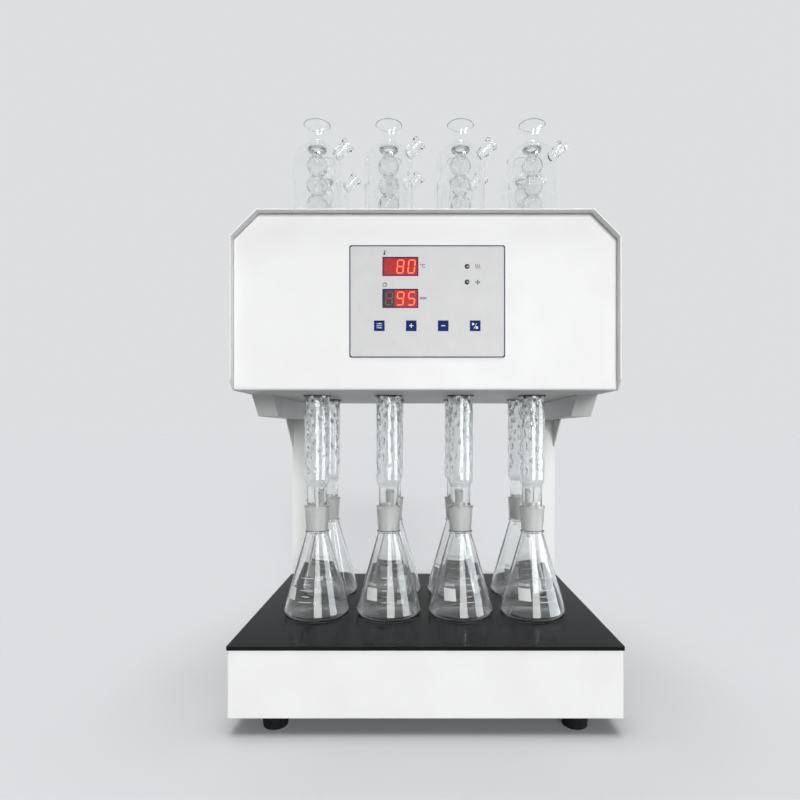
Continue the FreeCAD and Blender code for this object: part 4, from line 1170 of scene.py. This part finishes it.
CLOCK = [("ring", [(0.4, 0)], (2.2, 0.55)), ("line", [(0.4, 1.5), (0.4, 0), (1.5, 0)], 0.55)]
wave = [(0.5 * math.sin(FULL_TURN * share), 4.4 * (share - 0.5)) for share in [k / 8 for k in range(9)]]
HEAT = [("line", [(x + dx, z) for dx, z in wave], 0.55) for x in (9.4, 11.3, 13.2)]
petal = [(0.7, -0.2), (2.3, -0.9), (2.5, 0.2), (1.6, 0.9), (0.7, 0.5)]
FAN = [("dot", [(11.3, 0)], 0.6)]
for c, s in ((1, 0), (0, 1), (-1, 0), (0, -1)):
    FAN.append(("shape", [(11.3 + u * c - v * s, u * s + v * c) for u, v in petal], 0))


def border(inset):
    """The edge of the film, moved inwards."""
    x0, x1, z0, z1 = film_low.x + inset, film_high.x - inset, film_low.z + inset, film_high.z - inset
    return rounded_corners(x0, x1, z0, z1, corner_radius - line_inset)


bm = bmesh.new()
flat_band(bm, border(line_inset), border(line_inset + line_width), film_y)
for rows, z in zip((THERMOMETER, CLOCK), display_rows):
    draw_sign(bm, rows, (display_low.x + sign_inset, z + display_height / 2 + sign_rise), film_y)
for (text, height, shift), row_z in zip(UNITS, display_rows):
    x, z = display_high.x + shift, row_z - unit_drop
    placed_letters(bm, text, height, lambda u, v: (x + u, film_y, z + v))
for rows, z in zip((HEAT, FAN), lamp_rows):
    draw_sign(bm, rows, (lamp_x, z), film_y)
made = piece("panel_print", bm, "stand", "grey_film", navy)
print("print faces:", len(made.data.polygons))

# %% [markdown]
# ## Displays
# Each display is a module of three slanted seven-segment digits behind a red filter, with a
# dark frame. Where digits are lit, the filter around them glows. The segments are six-sided
# bars laid out from one list, and the numbers are plain readings.

# %% Build the displays
SEGMENTS = {
    "a": ((0, 1), (1, 1)), "b": ((1, 1), (1, 0.5)), "c": ((1, 0.5), (1, 0)), "d": ((0, 0), (1, 0)),
    "e": ((0, 0.5), (0, 0)), "f": ((0, 1), (0, 0.5)), "g": ((0, 0.5), (1, 0.5)),
}
DIGITS = {"8": "abcdefg", "0": "abcdef", "9": "abcdfg", "5": "acdfg", " ": ""}
DISPLAY_FINISHES = (navy, red_glow, dark_window, lit_bar, dim_bar)
FRAME, GLOWING, DARK, LIT, DIM = range(5)
frame_line = 1.1 * MM
digit_count = 3
digit_width = 6.6 * MM
digit_height = 13.6 * MM
digit_slant = 0.10
bar_width = 1.35 * MM
bar_gap_share = 0.18
face_lift = 0.03 * MM
face_y = display_low.y - face_lift
bar_lift = 0.05 * MM


def draw_digit(bm, sign, x, z):
    """One digit: its lit segments are bright and the others are dull."""
    for key, ends in SEGMENTS.items():
        a, b = (Vector(((u - 0.5) * digit_width, (v - 0.5) * digit_height)) for u, v in ends)
        a, b = (Vector((x + p.x + (p.y + digit_height / 2) * digit_slant, z + p.y)) for p in (a, b))
        along = (b - a).normalized()
        side = Vector((-along.y, along.x)) * bar_width / 2
        nose = along * bar_width / 2
        a, b = a + along * bar_width * bar_gap_share, b - along * bar_width * bar_gap_share
        points = [a, a + nose + side, b - nose + side, b, b - nose - side, a + nose - side]
        flat_shape(bm, points, face_y - bar_lift, LIT if key in DIGITS[sign] else DIM)


def box_corners(x0, x1, z0, z1):
    """The four corners of a rectangle, in order."""
    return [(x0, z0), (x1, z0), (x1, z1), (x0, z1)]


bm = bmesh.new()
x0, x1 = display_low.x, display_high.x
cell = (x1 - x0 - 2 * frame_line) / digit_count
for z, reading, blank in zip(display_rows, (" 80", " 95"), (GLOWING, DARK)):
    z0, z1 = z - display_height / 2, z + display_height / 2
    low, high = z0 + frame_line, z1 - frame_line
    hole = box_corners(x0 + frame_line, x1 - frame_line, low, high)
    flat_band(bm, box_corners(x0, x1, z0, z1), hole, face_y, FRAME)
    for n, sign in enumerate(reading):
        left = x0 + frame_line + n * cell
        behind = blank if sign == " " else GLOWING
        flat_shape(bm, box_corners(left, left + cell, low, high), face_y, behind)
        draw_digit(bm, sign, left + cell / 2 - digit_slant * digit_height / 2, z)
made = piece("display_faces", bm, "stand", "red_display", *DISPLAY_FINISHES)
print("display faces:", len(made.data.polygons))

# %% [markdown]
# ## Lamps and key signs
# The two lamps are small domed lenses. Each key is a navy pad with one white sign: three lines
# for the settings, plus, minus, and a start and stop mark. The signs ride on their own keys.

# %% Build the lamps and the key signs
lens_radius = 2.45 * MM
lens_edge = 0.35 * MM
lens_top = 1.35 * MM
lens_round = 3.55 * MM
lens_drop = 2.2 * MM
lens_steps = 32
lens_angle = 46
dome = arc(0, -lens_drop, lens_round, lens_angle, 90, 6)[:-1]
lens = [(lens_radius, 0), (lens_radius, lens_edge), *dome, (0, lens_top), (0, 0)]
bm = bmesh.new()
for z in lamp_rows:
    start = len(bm.verts)
    lathe(bm, lens, lens_steps)
    bm.verts.ensure_lookup_table()
    tip = Matrix.Translation((lamp_x, lamp_low.y, z)) @ Matrix.Rotation(math.pi / 2, 4, "X")
    bmesh.ops.transform(bm, matrix=tip, verts=bm.verts[start:])
made = piece("lamp_lenses", bm, "stand", "dark_lamp")

KEY_SIGNS = {"set": [], "up": [], "down": [], "start": []}
for slide, level in zip((1, -1.2, 0.4), (-2.2, 0, 2.2)):
    KEY_SIGNS["set"] += [("line", [(-3, level), (3, level)], 0.5), ("dot", [(slide, level)], 0.8)]
for name in ("up", "down"):
    KEY_SIGNS[name] += [("line", [(-2.2, 0), (2.2, 0)], 0.8)]
KEY_SIGNS["up"] += [("line_over", [(0, -2.2), (0, 2.2)], 0.8)]
KEY_SIGNS["start"] += [("shape", [(-3.2, 0.2), (-0.4, 1.8), (-3.2, 3.4)], 0)]
KEY_SIGNS["start"] += [("line", [(-1.4, -3.2), (1.6, 2.6)], 0.4)]
KEY_SIGNS["start"] += [("line", [(0.6, -2.0), (3.0, -2.0)], 2.4)]
key_lift = 0.03 * MM
for name, rows in KEY_SIGNS.items():
    low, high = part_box("key_" + name)
    bm = bmesh.new()
    draw_sign(bm, rows, ((low.x + high.x) / 2, (low.z + high.z) / 2), low.y - key_lift)
    piece("key_sign_" + name, bm, "key_" + name, "blue_key", white_ink)
print("lamps and key signs made")

# %% [markdown]
# ## Screws
# Small pan-head screws hold the covers. Each head is one outline with a hexagonal socket: the
# inner rings follow a hexagon where the outer ones are round. All screws of the stand are one
# piece, because nobody moves them.

# %% Drive the screws
head_steps = 24
head_height_share = 0.62
head_shares = ((1, 0), (1, 0.35), (0.86, 0.8), (0.6, 1))
socket_shares = ((0.48, 1), (0.46, 0.35))
side_screw = 3.0 * MM
back_screw = 2.6 * MM
inlet_screw = 2.2 * MM
cover_inset = 8 * MM
base_inset = 9 * MM
fan_inset = 7.5 * MM
inlet_inset = 4.5 * MM
side_shares = (0.18, 0.5, 0.82)
base_shares = (0.12, 0.5, 0.88)
bottom_shares = (0.05, 0.5, 0.95)
low_row_shares = (-0.94, -0.35, 0.35, 0.94)
high_row_shares = (-0.82, -0.3, 0.3, 0.82)
bottom_side_share = 0.96


def hexagon(radius, angle):
    """The distance to a hexagon's side at an angle."""
    sixth = FULL_TURN / 6
    return radius * math.cos(sixth / 2) / math.cos((angle % sixth) - sixth / 2)


def screw(bm, place, axis, radius):
    """A pan head with a hexagonal socket, standing on a surface with the axis pointing out."""
    aim = Vector((0, 0, 1)).rotation_difference(Vector(axis)).to_matrix().to_4x4()
    matrix = Matrix.Translation(place) @ aim
    rings = []
    for reach, level in head_shares + socket_shares:
        ring = []
        for n in range(head_steps):
            angle = FULL_TURN * n / head_steps
            r = hexagon(radius * reach, angle) if (reach, level) in socket_shares else radius * reach
            top = radius * head_height_share * level
            ring.append(bm.verts.new(matrix @ Vector((r * math.cos(angle), r * math.sin(angle), top))))
        rings.append(ring)
    for a, b in zip(rings, rings[1:]):
        for n in range(head_steps):
            m = (n + 1) % head_steps
            bm.faces.new((a[n], a[m], b[m], b[n]))
    bm.faces.new(rings[-1])


def between(low, high, shares):
    """Places at shares of the way from one end to the other."""
    return [low + (high - low) * share for share in shares]


bm = bmesh.new()
for side in (-1, 1):
    for y in between(head_low.y, head_high.y, side_shares):
        screw(bm, (side * head_high.x, y, head_low.z + cover_inset), (side, 0, 0), side_screw)
    for y in between(base_low.y, base_high.y, base_shares):
        screw(bm, (side * base_high.x, y, base_low.z + base_inset), (side, 0, 0), side_screw)

panel_low, panel_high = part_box("head_back_panel")
back_rows = {panel_low.z + cover_inset: low_row_shares, panel_high.z - cover_inset: high_row_shares}
spots = [(share * panel_high.x, z) for z, shares in back_rows.items() for share in shares]
for side in ("left", "right"):
    low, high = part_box("fan_frame_" + side)
    rows = (low.z + fan_inset, high.z - fan_inset)
    spots += [(x, z) for x in (low.x + fan_inset, high.x - fan_inset) for z in rows]
for x, z in spots:
    screw(bm, (x, panel_high.y, z), (0, 1, 0), back_screw)

low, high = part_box("power_inlet")
for x in (low.x + inlet_inset, high.x - inlet_inset):
    screw(bm, (x, high.y, (low.z + high.z) / 2), (0, 1, 0), inlet_screw)
low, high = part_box("base_bottom")
for x in (-bottom_side_share * high.x, bottom_side_share * high.x):
    for y in between(low.y, high.y, bottom_shares):
        screw(bm, (x, y, low.z), (0, 0, -1), back_screw)
made = piece("cover_screws", bm, "stand", "zinc_steel")
print("screw faces:", len(made.data.polygons))

# %% [markdown]
# ## Marks on the power switch
# A rocker carries a bar for on and a ring for off, the plain signs that every switch has. The
# paddle rests tilted, so the marks are laid flat and then turned with it about its pivot.

# %% Mark the rocker
rocker = next(j for j in frame["joints"] if j["child"] == "rocker_paddle")
pivot = Vector(rocker["pos_m"])
rest_tilt = -math.radians(rocker["range_deg"][1] / 2)
rocker_face = 7.5 * MM
rocker_half = 10.5 * MM
rocker_dish = 1.5 * MM
mark_lift = 0.05 * MM
ON_AND_OFF = [("line", [(0, 3.6), (0, 7.6)], 0.9), ("ring", [(0, -5.6)], (1.9, 0.8))]
bm = bmesh.new()
draw_sign(bm, ON_AND_OFF, (0, 0), 0)
for vertex in bm.verts:
    share = abs(vertex.co.z) / rocker_half
    vertex.co.y = rocker_face - rocker_dish * (1 - share) + mark_lift
bmesh.ops.reverse_faces(bm, faces=bm.faces)
bm.transform(Matrix.Translation(pivot) @ Matrix.Rotation(rest_tilt, 4, "X"))
made = piece("rocker_marks", bm, "rocker_paddle", "black_plastic", white_ink)
print("rocker marks at", [round(v, 3) for v in pivot])

# %% [markdown]
# ## Floor
# The instrument stands on a pale matt floor that runs to the horizon, and the world beyond has
# the same tone, so the horizon hardly shows. For the light that bounces off it the floor is
# greyer than it looks, so that the underside of the head stays as dark as in the photograph.

# %% Lay the floor
floor_reach = 60.0
floor_corners = 24
floor_seen = (0.62, 0.63, 0.64)
floor_bounced = (0.20, 0.20, 0.205)
bm = bmesh.new()
middle = bm.verts.new((0, 0, floor_z))
rim = [bm.verts.new((*spot, floor_z)) for spot in circle((0, 0), floor_reach, floor_corners)]
for a, b in zip(rim, rim[1:] + rim[:1]):
    bm.faces.new((middle, a, b))
mesh = bpy.data.meshes.new("studio_floor")
bm.to_mesh(mesh)
bm.free()


def choose_shader(tree, plain, shown, output):
    """Gives one shader to the rays that show a thing and another to the rest."""
    choice = tree.nodes.new("ShaderNodeMixShader")
    tree.links.new(shown_rays(tree), choice.inputs["Fac"])
    tree.links.new(plain, choice.inputs[1])
    tree.links.new(shown, choice.inputs[2])
    tree.links.new(choice.outputs[0], tree.nodes[output].inputs["Surface"])


def floor_paint(seen, bounced):
    """Matt paint with one tone for the rays that show it and another for bounced light."""
    material = finish("floor_paint", bounced, rough=0.9, specular=0.1)
    tree = material.node_tree
    shown = tree.nodes.new("ShaderNodeBsdfDiffuse")
    shown.inputs["Color"].default_value = (*seen, 1)
    shader = tree.nodes["Principled BSDF"]
    choose_shader(tree, shader.outputs["BSDF"], shown.outputs["BSDF"], "Material Output")
    return material


mesh.materials.append(floor_paint(floor_seen, floor_bounced))
floor = bpy.data.objects.new("studio_floor", mesh)
scene.collection.objects.link(floor)
print("floor reaches", floor_reach, "m")

# %% [markdown]
# ## Light
# A weak sky from the world fills every side, and is seen as pale as the floor, straight, in
# gloss and through glass. A broad light stands in front, a little to the right, one hangs above
# and a weak one stands behind. Glass needs bright shapes to mirror, so two windows are added
# that only gloss can see: one in front and a bluish one to the right. A small square lamp, which
# clear glass shows as well, puts a spark on each bulb.

# %% Set the lights
window_distance = 2.1
sky_tint = (0.93, 0.95, 1.0, 1)
sky_strength = 0.25
shown_tone = (0.72, 0.735, 0.745, 1)


def lamp_of(name, kind, source):
    """A lamp that shines towards the middle from the side where its source lies."""
    data = bpy.data.lights.new(name, kind)
    made = bpy.data.objects.new(name, data)
    made.rotation_euler = (-source).to_track_quat("-Z", "Y").to_euler()
    scene.collection.objects.link(made)
    return made, data


def broad_light(name, heading, rise, spread, strength):
    """An even light from far away. Heading is to the right of the camera, all angles in degrees."""
    turn, lift = math.radians(heading), math.radians(rise)
    level = math.cos(lift)
    source = Vector((math.sin(turn) * level, -math.cos(turn) * level, math.sin(lift)))
    made, data = lamp_of(name, "SUN", source)
    data.energy = strength
    data.angle = math.radians(spread)
    made.visible_glossy = False
    made.visible_transmission = False


def window(name, heading, width, low, high, glow, tint, through=False):
    """An upright rectangular lamp that only shows in gloss, or in clear glass as well."""
    turn = math.radians(heading)
    reach = Vector((math.sin(turn), -math.cos(turn), 0)) * window_distance
    made, data = lamp_of(name, "AREA", reach)
    data.shape = "RECTANGLE"
    data.size = width
    data.size_y = high - low
    data.energy = glow * math.pi * data.size * data.size_y
    data.color = tint
    made.location = reach + Vector((0, 0, (low + high) / 2))
    made.visible_camera = False
    made.visible_diffuse = False
    made.visible_transmission = through


broad_light("front_light", heading=8, rise=13, spread=22, strength=2.4)
broad_light("top_light", heading=0, rise=88, spread=46, strength=2.2)
broad_light("back_light", heading=196, rise=28, spread=60, strength=0.35)
window("window_front", 9, width=1.0, low=0.0, high=1.1, glow=12, tint=(1, 1, 1))
window("window_right", 74, width=1.7, low=0.0, high=1.1, glow=10, tint=(0.9, 0.95, 1.0))
window("spark_lamp", 14, width=0.5, low=1.75, high=2.25, glow=24, tint=(1, 1, 1), through=True)

world = bpy.data.worlds.new("studio")
scene.world = world
world.use_nodes = True
tree = world.node_tree
fill = tree.nodes["Background"]
fill.inputs["Color"].default_value = sky_tint
fill.inputs["Strength"].default_value = sky_strength
shown = tree.nodes.new("ShaderNodeBackground")
shown.inputs["Color"].default_value = shown_tone
choose_shader(tree, fill.outputs["Background"], shown.outputs["Background"], "World Output")

# %% [markdown]
# ## Light paths
# A look through two condensers crosses many walls of glass, so rays need more bounces than
# Blender's default. The view transform is Standard, which shows colours as they are written.

# %% Set the light paths
glass_bounces = 28
gloss_bounces = 8
scene.cycles.max_bounces = glass_bounces
scene.cycles.transmission_bounces = glass_bounces
scene.cycles.glossy_bounces = gloss_bounces
scene.view_settings.view_transform = "Standard"
print("bounces:", scene.cycles.max_bounces)
